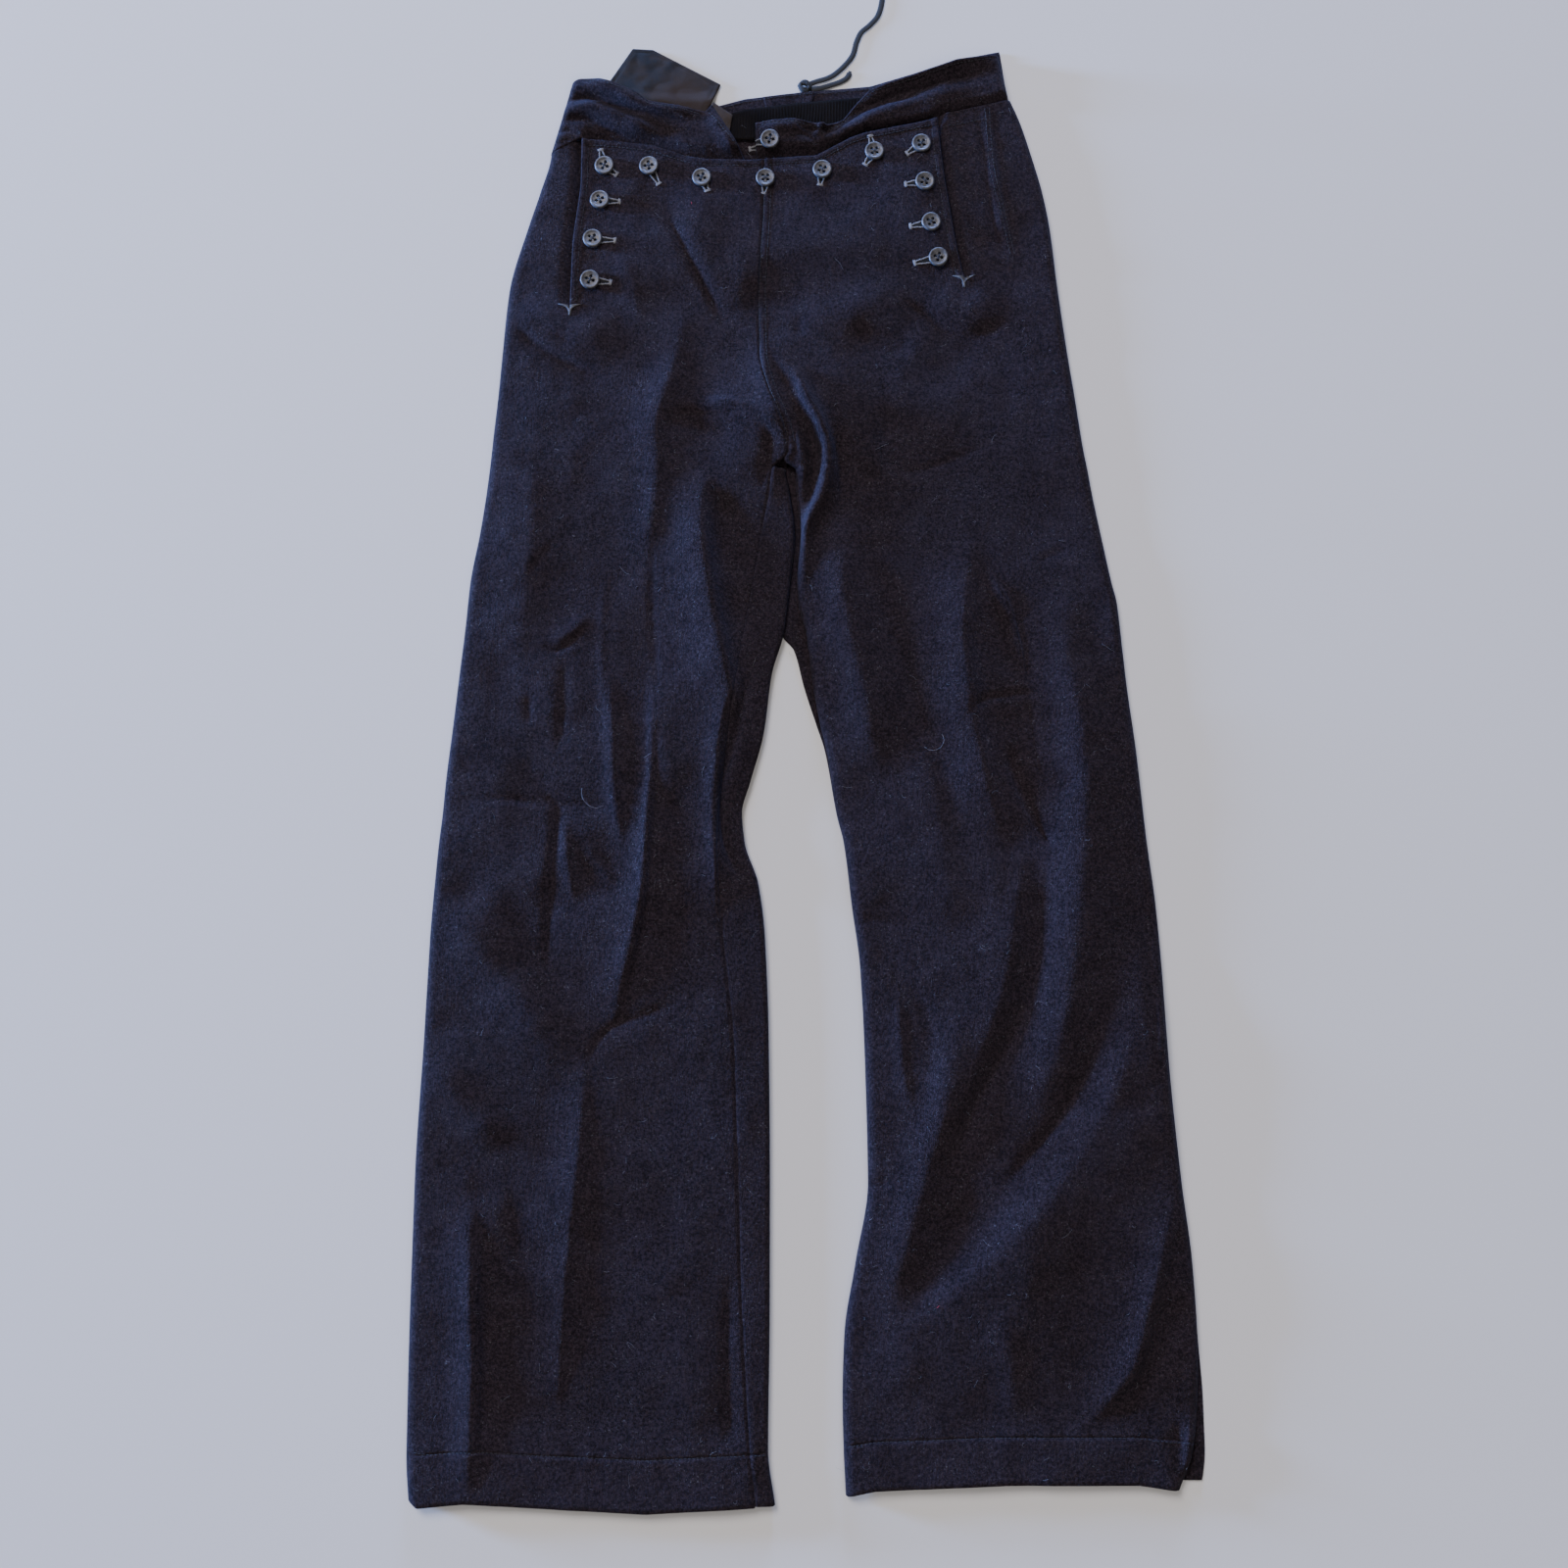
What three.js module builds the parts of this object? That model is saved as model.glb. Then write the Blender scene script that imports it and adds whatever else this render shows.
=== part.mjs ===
// Sailor trousers of thick navy wool, laid flat with the front up.
// Millimetres. +X is the wearer's left, +Y runs from the hems to the waist, +Z is up from the floor.
// In the tables below x = 0 lies close to the centre back, and y = 0 is the hem line.
// The finished group is moved at the end, so that its origin is the bottom centre of the garment.

import * as THREE from 'three';

// Cloth

const CLOTH = 1.8;            // wool wall
const THIN_CLOTH = 1.0;       // facing, gusset and lining
const BAG_CLOTH = 1.4;        // pocket bag, two layers of sateen
const SEAM_GAP = 0.3;         // space between pieces that are sewn together
const HEM_EXTRA = 1.2;        // the turned-up layer inside each hem
const HEM_DEPTH = 32;
const HALF = CLOTH / 2;

// Heights of the cloth's middle surface above the floor

const BACK_Z = HALF;          // back panels lie on the floor
const BEARER_Z = 3.1;         // facing strips that carry the fall's buttons
const LEG_Z = 4.6;
const HEM_Z = 6.2;
const FALL_Z = 7.0;           // the fall rests on its bearers
const BAND_Z = 9.0;
const RIM_Z = 2.6;            // where a rolled edge lands on the back panel
const LEAST_Z = 3.2;
const LEAST_FALL_Z = 5.6;
const FLAP_LIFT = 1.2;        // the fall stands above the strip beside its slit

// Edges

const ROLL = 6;               // width of the rounding where a front panel turns down at a side
const INSEAM_ROLL = 2.4;      // radius of the back panel's turn at the wearer's right inseam
const SLIT = 1.6;             // width of the fall's side openings
const UNDERLAP = 8;           // the waistbands run this far under the fall

// Buttons and lace

const BUTTON_R = 7.5;
const BUTTON_H = 3.0;
const LACE_WIDTH = 4.2;
const LACE_THICK = 1.2;
const LACE_Z = 0.75;
const LACE_STEP = 6;

// Where the legs part, and the ends of the fall's side openings

const CROTCH_Y = 757;
const INSEAM_TOP = 745;
const RIGHT_SLIT_END = 878;
const LEFT_SLIT_END = 898;
const FALL_START = 850;
const CENTRE_BACK = 4;

// Wearer's right leg: side edge, front seam (inseam, then centre seam) and inner edge at each height

const RIGHT_LEG = [
  { y: -4, outer: -259, seam: -20, inner: -6 },
  { y: 33, outer: -262, seam: -24, inner: -11 },
  { y: 130, outer: -263, seam: -30, inner: -10 },
  { y: 212, outer: -263, seam: -33, inner: -10 },
  { y: 315, outer: -260, seam: -37, inner: -11 },
  { y: 390, outer: -258, seam: -45, inner: -14 },
  { y: 428, outer: -256, seam: -48, inner: -19 },
  { y: 458, outer: -254, seam: -49.5, inner: -29 },
  { y: 480, outer: -252, seam: -48.5, inner: -31 },
  { y: 503, outer: -250.5, seam: -46.5, inner: -25 },
  { y: 540, outer: -247, seam: -42, inner: -15 },
  { y: 585, outer: -243, seam: -36, inner: -9 },
  { y: 617, outer: -240, seam: -30.5, inner: 0 },
  { y: 656, outer: -237, seam: -23.5, inner: 4.5 },
  { y: 694, outer: -231, seam: -17.5, inner: 8 },
  { y: 725, outer: -227, seam: -12, inner: 4.5 },
  { y: 745, outer: -225, seam: -9, inner: 1 },
  { y: 757, outer: -224, seam: 3, inner: 4 },
  { y: 771, outer: -223, seam: 1.5, inner: 4 },
  { y: 807, outer: -220, seam: -12, inner: 4 },
  { y: 837, outer: -218, seam: -19, inner: 4 },
  { y: 889, outer: -214, seam: -20, inner: 4 },
  { y: 945, outer: -200, seam: -17, inner: 4 },
  { y: 972, outer: -192, seam: -16, inner: 4 },
  { y: 1004, outer: -184, seam: -16, inner: 4 },
  { y: 1025, outer: -183, seam: -16, inner: 4 },
];

// Wearer's left leg: front and back panel edges at each height

const LEFT_LEG = [
  { y: -4, inner: 43, backInner: 44, outer: 268, backOuter: 286 },
  { y: 36, inner: 41.5, backInner: 42, outer: 284, backOuter: 292 },
  { y: 65, inner: 41, backInner: 41.5, outer: 288, backOuter: 292 },
  { y: 110, inner: 42.5, backInner: 43, outer: 290, backOuter: 290 },
  { y: 158, inner: 50.5, backInner: 51, outer: 288.5, backOuter: 288 },
  { y: 215, inner: 60, backInner: 60.5, outer: 283, backOuter: 282.5 },
  { y: 300, inner: 58.5, backInner: 59, outer: 277, backOuter: 276.5 },
  { y: 367, inner: 55.5, backInner: 56, outer: 274.5, backOuter: 274 },
  { y: 410, inner: 50, backInner: 50.5, outer: 272, backOuter: 271.5 },
  { y: 459, inner: 44, backInner: 44.5, outer: 267, backOuter: 266.5 },
  { y: 477, inner: 39.5, backInner: 40, outer: 265.5, backOuter: 265 },
  { y: 527, inner: 31.5, backInner: 31, outer: 261.5, backOuter: 261 },
  { y: 546, inner: 27, backInner: 25, outer: 259.5, backOuter: 259 },
  { y: 574, inner: 22, backInner: 16, outer: 256.5, backOuter: 256 },
  { y: 617, inner: 16.5, backInner: 2.5, outer: 253, backOuter: 252.5 },
  { y: 640, inner: 11, backInner: 5.5, outer: 251, backOuter: 250.5 },
  { y: 656, inner: 10, backInner: 6.5, outer: 247.5, backOuter: 247 },
  { y: 694, inner: 12.5, backInner: 10, outer: 240.5, backOuter: 240 },
  { y: 725, inner: 9.5, backInner: 6.5, outer: 235, backOuter: 234.5 },
  { y: 745, inner: 9, backInner: 3.5, outer: 232, backOuter: 231.5 },
  { y: 757, inner: 3, backInner: 4, outer: 230, backOuter: 229.5 },
  { y: 771, inner: 1.5, backInner: 4, outer: 228, backOuter: 227.5 },
  { y: 807, inner: -12, backInner: 4, outer: 223.5, backOuter: 223 },
  { y: 837, inner: -19, backInner: 4, outer: 219.5, backOuter: 219 },
  { y: 889, inner: -20, backInner: 4, outer: 213.5, backOuter: 213 },
  { y: 945, inner: -17, backInner: 4, outer: 208, backOuter: 207.5 },
  { y: 972, inner: -16, backInner: 4, outer: 203.5, backOuter: 203 },
  { y: 1002, inner: -16, backInner: 4, outer: 196, backOuter: 195.5 },
  { y: 1033, inner: -16, backInner: 4, outer: 187, backOuter: 186.5 },
  { y: 1053, inner: -16, backInner: 4, outer: 179, backOuter: 178.5 },
];

// How far the big fold beside the crotch lies from the left panel's edge

const CREST = [
  { y: 560, off: 20 },
  { y: 620, off: 8 },
  { y: 677, off: 7 },
  { y: 708, off: 10 },
  { y: 735, off: 21 },
  { y: 761, off: 31 },
  { y: 775, off: 29 },
  { y: 810, off: 27 },
  { y: 832, off: 14 },
  { y: 870, off: 20 },
];

// Paths of the fall's side openings, carried on down the leg as a line of the mesh

const RIGHT_SLIT = [
  { y: -4, x: -196 },
  { y: 500, x: -190 },
  { y: 750, x: -177 },
  { y: 873, x: -166.5 },
  { y: 930, x: -164.5 },
  { y: 981, x: -159.5 },
  { y: 1030, x: -159.5 },
];
const LEFT_SLIT = [
  { y: -4, x: 205 },
  { y: 500, x: 186 },
  { y: 780, x: 150 },
  { y: 897, x: 140 },
  { y: 928, x: 134 },
  { y: 955, x: 130 },
  { y: 991, x: 125 },
  { y: 1036, x: 121 },
];

// Hem and top edges

const RIGHT_HEM = [
  { x: -262, y: 5 },
  { x: -253, y: -3 },
  { x: -221, y: 0 },
  { x: -171, y: -3 },
  { x: -96, y: -7 },
  { x: -22, y: -3 },
];
const LEFT_HEM = [
  { x: 43, y: 4 },
  { x: 63, y: 8 },
  { x: 109, y: 10 },
  { x: 153, y: 12 },
  { x: 242, y: 12 },
  { x: 269, y: 8 },
];
const LEFT_BACK_HEM = 14;
const RIGHT_BACK_HEM = 1;
const RIGHT_TOP = [
  { x: -184, y: 1004 },
  { x: -159.6, y: 1017.5 },
  { x: -158.4, y: 1015 },
  { x: -132, y: 1013 },
  { x: -104, y: 1009 },
  { x: -76, y: 1000 },
  { x: -62, y: 997.5 },
  { x: -28, y: 997 },
  { x: -16, y: 998 },
];
const LEFT_TOP = [
  { x: -16, y: 998 },
  { x: 26, y: 1000.5 },
  { x: 52, y: 1015 },
  { x: 65, y: 1020 },
  { x: 93, y: 1026 },
  { x: 120.4, y: 1032.5 },
  { x: 121.6, y: 1036.3 },
  { x: 178, y: 1050 },
];
const BACK_TOP = [
  { x: -184, y: 1006 },
  { x: CENTRE_BACK, y: 1006 },
  { x: 178, y: 1049 },
];

// Waistbands: upper edges, and how far each runs along the waist

const RIGHT_BAND_TOP = [
  { x: -168, y: 1064 },
  { x: -161, y: 1066 },
  { x: -146, y: 1065 },
  { x: -118, y: 1055 },
  { x: -107, y: 1046 },
  { x: -62, y: 1038 },
  { x: -57, y: 1044 },
];
const LEFT_BAND_TOP = [
  { x: -23, y: 1029 },
  { x: 8, y: 1032 },
  { x: 33, y: 1027 },
  { x: 47, y: 1033 },
  { x: 58, y: 1046 },
  { x: 68, y: 1056 },
  { x: 103, y: 1068 },
  { x: 137, y: 1080 },
  { x: 171, y: 1088 },
];
const BACK_BAND_TOP = [
  { x: -168, y: 1062 },
  { x: -130, y: 1052 },
  { x: -90, y: 1046 },
  { x: -52, y: 1048 },
  { x: -31, y: 1054 },
  { x: 15, y: 1060 },
  { x: 69, y: 1065 },
  { x: 103, y: 1076 },
  { x: 137, y: 1088 },
  { x: 172, y: 1095 },
];
const RIGHT_BAND_ENDS = { lowSide: -183.5, lowSlit: -160, lowFront: -25, topSide: -168, topFront: -57 };
const LEFT_BAND_ENDS = { lowFront: -21, lowSlit: 122.2, lowSide: 178, topFront: -22, topSide: 171 };
const BACK_BAND_ENDS = { rightLow: -183.5, rightTop: -168.5, leftLow: 178, leftTop: 172 };
const NOTCH = { x: CENTRE_BACK, low: 0.6, top: 12 };   // lacing gap at the centre back, half widths

// Folds of the legs and fall: a positive height is a ridge and a negative one a trough

const FOLDS = [
  { width: 46, height: 5, path: [[-60, 760], [20, 790], [80, 800]] },
  { width: 15, height: 4, path: [[-82, 865], [-100, 800], [-102, 740], [-101, 690]] },
  { width: 12, height: -2.4, path: [[-99, 655], [-94, 588], [-97, 531], [-104, 428]] },
  { width: 19, height: 10, path: [[-77, 730], [-79, 675], [-65, 631], [-54, 580], [-40, 560]] },
  { width: 12, height: -2, path: [[-54, 735], [-50, 698], [-42, 640]] },
  { width: 9, height: 7, path: [[-56, 570], [-60, 530], [-61, 480], [-60, 430]] },
  { width: 9, height: -2, path: [[-166, 610], [-168, 559], [-158, 500]] },
  { width: 8, height: 2.5, path: [[-134, 576], [-130, 502], [-118, 453]] },
  { width: 9, height: -3, path: [[-99, 470], [-105, 406], [-115, 342], [-139, 304], [-146, 240]] },
  { width: 10, height: 5, path: [[-112, 450], [-122, 367], [-134, 325]] },
  { width: 11, height: 4, path: [[-160, 250], [-166, 181], [-172, 91], [-172, 20]] },
  { width: 16, height: 5, path: [[-230, 430], [-198, 371], [-158, 310]] },
  { width: 13, height: -3, path: [[-246, 420], [-214, 362], [-168, 296]] },
  { width: 14, height: 4, path: [[-242, 300], [-204, 262], [-188, 225]] },
  { width: 9, height: 8, path: [[-223, 215], [-221, 166], [-224, 110], [-230, 12]] },
  { width: 10, height: -3, path: [[-207, 190], [-206, 121], [-207, 10]] },
  { width: 9, height: -4, path: [[-209, 858], [-188, 840], [-165, 827], [-133, 806]] },
  { width: 16, height: 5, path: [[-205, 880], [-180, 862], [-150, 850], [-125, 835]] },
  { width: 10, height: -2.5, path: [[-95, 783], [-62, 778], [-32, 772]] },
  { width: 9, height: 3.5, path: [[-64, 800], [-36, 797], [-14, 786], [-8, 766]] },
  { width: 9, height: -2.5, path: [[-95, 955], [-76, 917], [-48, 866]] },
  { width: 14, height: 4, path: [[-118, 950], [-98, 905], [-76, 868]] },
  { width: 7, height: 14, path: [[-7, 836], [14, 810], [29, 778], [34, 761], [30, 735], [22, 708]] },
  { width: 8, height: 9, path: [[24, 712], [18, 677], [18, 640], [24, 612]] },
  { width: 11, height: -3, path: [[26, 790], [45, 750], [48, 716], [42, 685]] },
  { width: 14, height: 7, path: [[26, 690], [34, 655], [42, 618], [55, 580], [66, 545]] },
  { width: 14, height: -2.5, path: [[58, 690], [66, 640], [84, 590], [107, 531], [136, 464]] },
  { width: 17, height: 8, path: [[137, 700], [128, 640], [121, 575], [130, 520], [149, 445]] },
  { width: 9, height: -3, path: [[157, 660], [163, 610], [166, 585]] },
  { width: 14, height: 7, path: [[201, 660], [205, 600], [206, 530], [202, 480], [210, 430]] },
  { width: 15, height: 9, path: [[210, 440], [206, 395], [194, 336], [177, 285], [150, 236]] },
  { width: 8, height: -3, path: [[166, 530], [172, 500], [186, 472], [199, 453]] },
  { width: 13, height: -3, path: [[188, 440], [180, 352], [160, 300], [132, 236], [106, 162], [67, 108]] },
  { width: 11, height: -3, path: [[222, 340], [210, 285], [192, 258], [160, 226]] },
  { width: 16, height: 10, path: [[264, 385], [249, 336], [228, 292], [198, 250], [134, 174], [48, 82]] },
  { width: 12, height: 6, path: [[114, 345], [116, 285], [100, 242], [84, 190], [68, 118]] },
  { width: 13, height: 6, path: [[272, 200], [261, 150], [247, 111], [222, 62]] },
  { width: 12, height: -2.5, path: [[282, 132], [262, 92], [238, 58]] },
  { width: 12, height: -4, path: [[85, 877], [111, 861], [135, 849], [160, 860]] },
  { width: 18, height: 5, path: [[108, 880], [140, 872], [172, 884]] },
  { width: 17, height: 6, path: [[104, 898], [61, 876], [23, 860], [0, 836]] },
  { width: 12, height: -2, path: [[48, 856], [80, 848], [102, 838]] },
];

// Folds of the waistbands

const BAND_FOLDS = [
  { width: 4.5, height: -4.5, path: [[-184, 1030], [-161, 1034], [-148, 1029], [-122, 1016]] },
  { width: 4.5, height: -4, path: [[-178, 1040], [-165, 1050], [-148, 1050], [-135, 1045], [-77, 1030]] },
  { width: 4, height: -3, path: [[-184, 1018], [-172, 1023], [-156, 1020]] },
  { width: 5.5, height: 5, path: [[-176, 1036], [-155, 1042], [-130, 1034], [-95, 1018]] },
  { width: 6, height: 6, path: [[-168, 1059], [-140, 1059], [-110, 1042], [-64, 1036]] },
  { width: 6, height: -5.5, path: [[36, 1028], [55, 1039], [76, 1052], [114, 1064], [152, 1071]] },
  { width: 7, height: 5, path: [[60, 1051], [92, 1066], [140, 1082], [170, 1086]] },
  { width: 7, height: 3, path: [[40, 1018], [70, 1036], [110, 1050], [160, 1060]] },
  { width: 5, height: -4, path: [[33, 1032], [29, 1016]] },
  { width: 6, height: 3, path: [[-20, 1024], [6, 1026], [24, 1024]] },
  { width: 6, height: 4, path: [[-60, 1038], [-44, 1014], [-32, 1000]] },
];

const TOP_ROW = [[-141, 992], [-106, 991.5], [-64.5, 981.5], [-14.6, 981.5], [30, 988], [71, 1003], [108, 1010]];
const RIGHT_ROW = [[-144, 962.5], [-149, 930], [-150.5, 896.5]];
const LEFT_ROW = [[110, 977], [114.5, 943], [120, 915]];
const BAND_BUTTON = [-11, 1014];

const LACE_PATH = [
  [21.2, 1068.2], [27, 1070.4], [34, 1072.6], [40.7, 1076.5], [48.5, 1084], [55, 1093], [58, 1104], [62, 1113],
  [69, 1119.5], [75.6, 1128], [78.8, 1140], [79.5, 1152], [83, 1163],
];
const LACE_END_PATH = [[21.2, 1063], [30, 1064.6], [38, 1067.2], [45, 1069.8], [50.5, 1073.6], [53, 1079]];
const KNOT = [16.5, 1065];

// Plain functions

const clamp = (value, low, high) => Math.min(Math.max(value, low), high);
const mix = (a, b, t) => a + (b - a) * t;

function ease(from, to, value) {
  const t = clamp((value - from) / (to - from), 0, 1);
  return t * t * (3 - 2 * t);
}

// Value of one column of a table, straight between its rows.
function read(table, key, column, place) {
  let row = 1;
  while (row < table.length - 1 && table[row][key] < place) row += 1;
  const a = table[row - 1];
  const b = table[row];
  const t = clamp((place - a[key]) / (b[key] - a[key]), 0, 1);
  return mix(a[column], b[column], t);
}

const edge = (table, x) => read(table, 'x', 'y', x);
const right = (column, y) => read(RIGHT_LEG, 'y', column, y);
const left = (column, y) => read(LEFT_LEG, 'y', column, y);

// Each fold becomes short straight pieces of a smooth curve, which fade in and out at its ends.
const FOLD_STEPS = 24;
const FOLD_FADE = 0.25;

function prepare(folds) {
  return folds.map(({ width, height, path }) => {
    const curve = new THREE.CatmullRomCurve3(path.map(([x, y]) => new THREE.Vector3(x, y, 0)));
    return { width, height, points: curve.getPoints(FOLD_STEPS) };
  });
}

function foldHeight(folds, x, y) {
  let sum = 0;
  for (const { width, height, points } of folds) {
    let nearest = Infinity;
    let along = 0;
    for (let i = 0; i < FOLD_STEPS; i += 1) {
      const a = points[i];
      const b = points[i + 1];
      const dx = b.x - a.x;
      const dy = b.y - a.y;
      const t = clamp(((x - a.x) * dx + (y - a.y) * dy) / (dx * dx + dy * dy), 0, 1);
      const distance = Math.hypot(x - a.x - dx * t, y - a.y - dy * t);
      if (distance < nearest) {
        nearest = distance;
        along = (i + t) / FOLD_STEPS;
      }
    }
    const fade = ease(-0.05, FOLD_FADE, along) * ease(-0.05, FOLD_FADE, 1 - along);
    sum += height * fade * Math.exp(-((nearest / width) ** 2));
  }
  return sum;
}

const folds = prepare(FOLDS);
const bandFolds = prepare(BAND_FOLDS);

// Middle surface of the front of the trousers.
function frontZ(x, y) {
  const hem = mix(HEM_Z, LEG_Z, ease(HEM_DEPTH, HEM_DEPTH + 24, y));
  const base = mix(hem, FALL_Z, ease(FALL_START - 40, FALL_START + 20, y));
  const least = Math.max(
    mix(HEM_Z - 0.6, LEAST_Z, ease(HEM_DEPTH, HEM_DEPTH + 24, y)),
    mix(LEAST_Z, LEAST_FALL_Z, ease(FALL_START - 40, FALL_START, y)),
  );
  return Math.max(base + foldHeight(folds, x, y), least);
}

// Height near a rolled edge: distance is measured in from the silhouette.
function rolled(z, distance) {
  const t = clamp((distance - HALF) / ROLL, 0, 1);
  return mix(RIM_Z, z, Math.sqrt(1 - (1 - t) ** 2));
}

// A closed wall made from a grid of middle points. keep says which cells of the grid are cloth,
// and inside and outside give the wall's reach on its two sides of a point.
function shell(grid, keep, inside, outside) {
  const rows = grid.length;
  const columns = grid[0].length;
  const kept = (i, j) => i >= 0 && j >= 0 && i < rows - 1 && j < columns - 1 && keep(i, j);
  const normals = grid.map((row) => row.map(() => new THREE.Vector3()));
  for (let i = 0; i < rows - 1; i += 1) {
    for (let j = 0; j < columns - 1; j += 1) {
      if (!kept(i, j)) continue;
      const corners = [[i, j], [i, j + 1], [i + 1, j + 1], [i + 1, j]];
      const across = grid[i + 1][j + 1].clone().sub(grid[i][j]);
      const back = grid[i + 1][j].clone().sub(grid[i][j + 1]);
      const normal = across.cross(back);
      for (const [a, b] of corners) normals[a][b].add(normal);
    }
  }
  const position = [];
  const index = [];
  const numbers = new Map();
  const vertex = (i, j, side) => {
    const key = `${i},${j},${side}`;
    if (!numbers.has(key)) {
      const reach = side > 0 ? outside(i, j) : -inside(i, j);
      const point = grid[i][j].clone().addScaledVector(normals[i][j].clone().normalize(), reach);
      numbers.set(key, position.length / 3);
      position.push(point.x, point.y, point.z);
    }
    return numbers.get(key);
  };
  const quad = (a, b, c, d) => index.push(a, b, c, a, c, d);
  const rim = (a, b) => quad(vertex(...a, 1), vertex(...a, -1), vertex(...b, -1), vertex(...b, 1));
  for (let i = 0; i < rows - 1; i += 1) {
    for (let j = 0; j < columns - 1; j += 1) {
      if (!kept(i, j)) continue;
      const a = [i, j];
      const b = [i, j + 1];
      const c = [i + 1, j + 1];
      const d = [i + 1, j];
      quad(vertex(...a, 1), vertex(...b, 1), vertex(...c, 1), vertex(...d, 1));
      quad(vertex(...a, -1), vertex(...d, -1), vertex(...c, -1), vertex(...b, -1));
      if (!kept(i - 1, j)) rim(a, b);
      if (!kept(i, j + 1)) rim(b, c);
      if (!kept(i + 1, j)) rim(c, d);
      if (!kept(i, j - 1)) rim(d, a);
    }
  }
  const geometry = new THREE.BufferGeometry();
  geometry.setAttribute('position', new THREE.Float32BufferAttribute(position, 3));
  geometry.setIndex(index);
  geometry.computeVertexNormals();
  return geometry;
}

const always = () => true;
const evenly = (reach) => () => reach;
const at = (x, y, z) => new THREE.Vector3(x, y, z);

// Materials

const wool = new THREE.MeshStandardMaterial({ color: 0x20222f, roughness: 0.95, metalness: 0 });
const twill = new THREE.MeshStandardMaterial({ color: 0x2a2524, roughness: 0.8, metalness: 0 });
const sateen = new THREE.MeshStandardMaterial({ color: 0x56544f, roughness: 0.55, metalness: 0 });
const plastic = new THREE.MeshStandardMaterial({ color: 0x17171a, roughness: 0.35, metalness: 0 });
const braid = new THREE.MeshStandardMaterial({ color: 0x14151c, roughness: 0.85, metalness: 0 });

const trousers = new THREE.Group();

function add(name, geometry, material) {
  const mesh = new THREE.Mesh(geometry, material);
  mesh.name = name;
  mesh.updateMatrixWorld(true);
  trousers.add(mesh);
  return mesh;
}

// Heights of the mesh lines that all four panels share, so that their seams meet.

const LEG_ROWS = 33;
const FALL_ROWS = 8;
const TOP_Y = 998;

function rowHeights() {
  const rows = [-3, HEM_DEPTH - 2, HEM_DEPTH + 2];
  for (let i = 1; i < LEG_ROWS; i += 1) rows.push(mix(HEM_DEPTH + 2, INSEAM_TOP, i / LEG_ROWS));
  rows.push(INSEAM_TOP, CROTCH_Y, 771, 789, 807, 822, 837);
  for (let i = 1; i <= FALL_ROWS; i += 1) rows.push(mix(837, TOP_Y, i / FALL_ROWS));
  return rows;
}

const ROWS = rowHeights();
const HEM_FADE = 160;

// A panel's own hem and top edge shift the shared rows near its ends only.
function shifted(y, hem, top) {
  const low = 1 - clamp((y - ROWS[0]) / HEM_FADE, 0, 1);
  const high = clamp((y - FALL_START) / (TOP_Y - FALL_START), 0, 1);
  return y + (hem - ROWS[0]) * low + (top - TOP_Y) * high;
}

// Lines of a front panel from its side edge to its seam, as places across the leg at height y.

function frontLines(first, slit, last, firstSteps, outboard, inboard, lastSteps) {
  const lines = firstSteps.map((step) => (y) => first(y) + step(y));
  for (let i = 1; i < outboard; i += 1) {
    lines.push((y) => mix(first(y) + firstSteps.at(-1)(y), slit(y) - SLIT / 2, i / outboard));
  }
  lines.push((y) => slit(y) - SLIT / 2, (y) => slit(y) + SLIT / 2);
  for (let i = 1; i < inboard; i += 1) {
    lines.push((y) => mix(slit(y) + SLIT / 2, last(y) - lastSteps[0](y), i / inboard));
  }
  return lines.concat(lastSteps.map((step) => (y) => last(y) - step(y)));
}

// Top edge of a panel where one of its lines ends: the line's place there depends on the height.
function topOf(table, line) {
  let y = TOP_Y;
  for (let round = 0; round < 4; round += 1) y = edge(table, line(y));
  return y;
}

const step = (size) => () => size;
const sideSteps = [step(HALF), step(2.6), step(6.5)];

// Wearer's right front: leg, its half of the fall and the strip beside the fall's opening.

function frontRight() {
  const slit = (y) => read(RIGHT_SLIT, 'y', 'x', y);
  const outer = (y) => right('outer', y);
  const seam = (y) => right('seam', y);
  const seamSteps = [step(17), step(7), step(2), step(SEAM_GAP / 2)];
  const lines = frontLines(outer, slit, seam, sideSteps, 3, 8, seamSteps);
  const slitLine = sideSteps.length + 2;
  const grid = ROWS.map((row) => lines.map((line, j) => {
    const y = shifted(row, edge(RIGHT_HEM, line(0)), topOf(RIGHT_TOP, line));
    const x = line(y);
    const flap = j > slitLine ? FLAP_LIFT * ease(RIGHT_SLIT_END, RIGHT_SLIT_END + 30, y) : 0;
    return at(x, y, rolled(frontZ(x, y) + flap, x - outer(y)));
  }));
  const open = (i, j) => j === slitLine && ROWS[i] > RIGHT_SLIT_END - 8;
  const turned = (i, j) => (i < 2 && j > 2 && j < lines.length - 1 ? HALF + HEM_EXTRA : HALF);
  return shell(grid, (i, j) => !open(i, j), turned, evenly(HALF));
}

// Wearer's left front, with the big fold beside the crotch.

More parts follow.
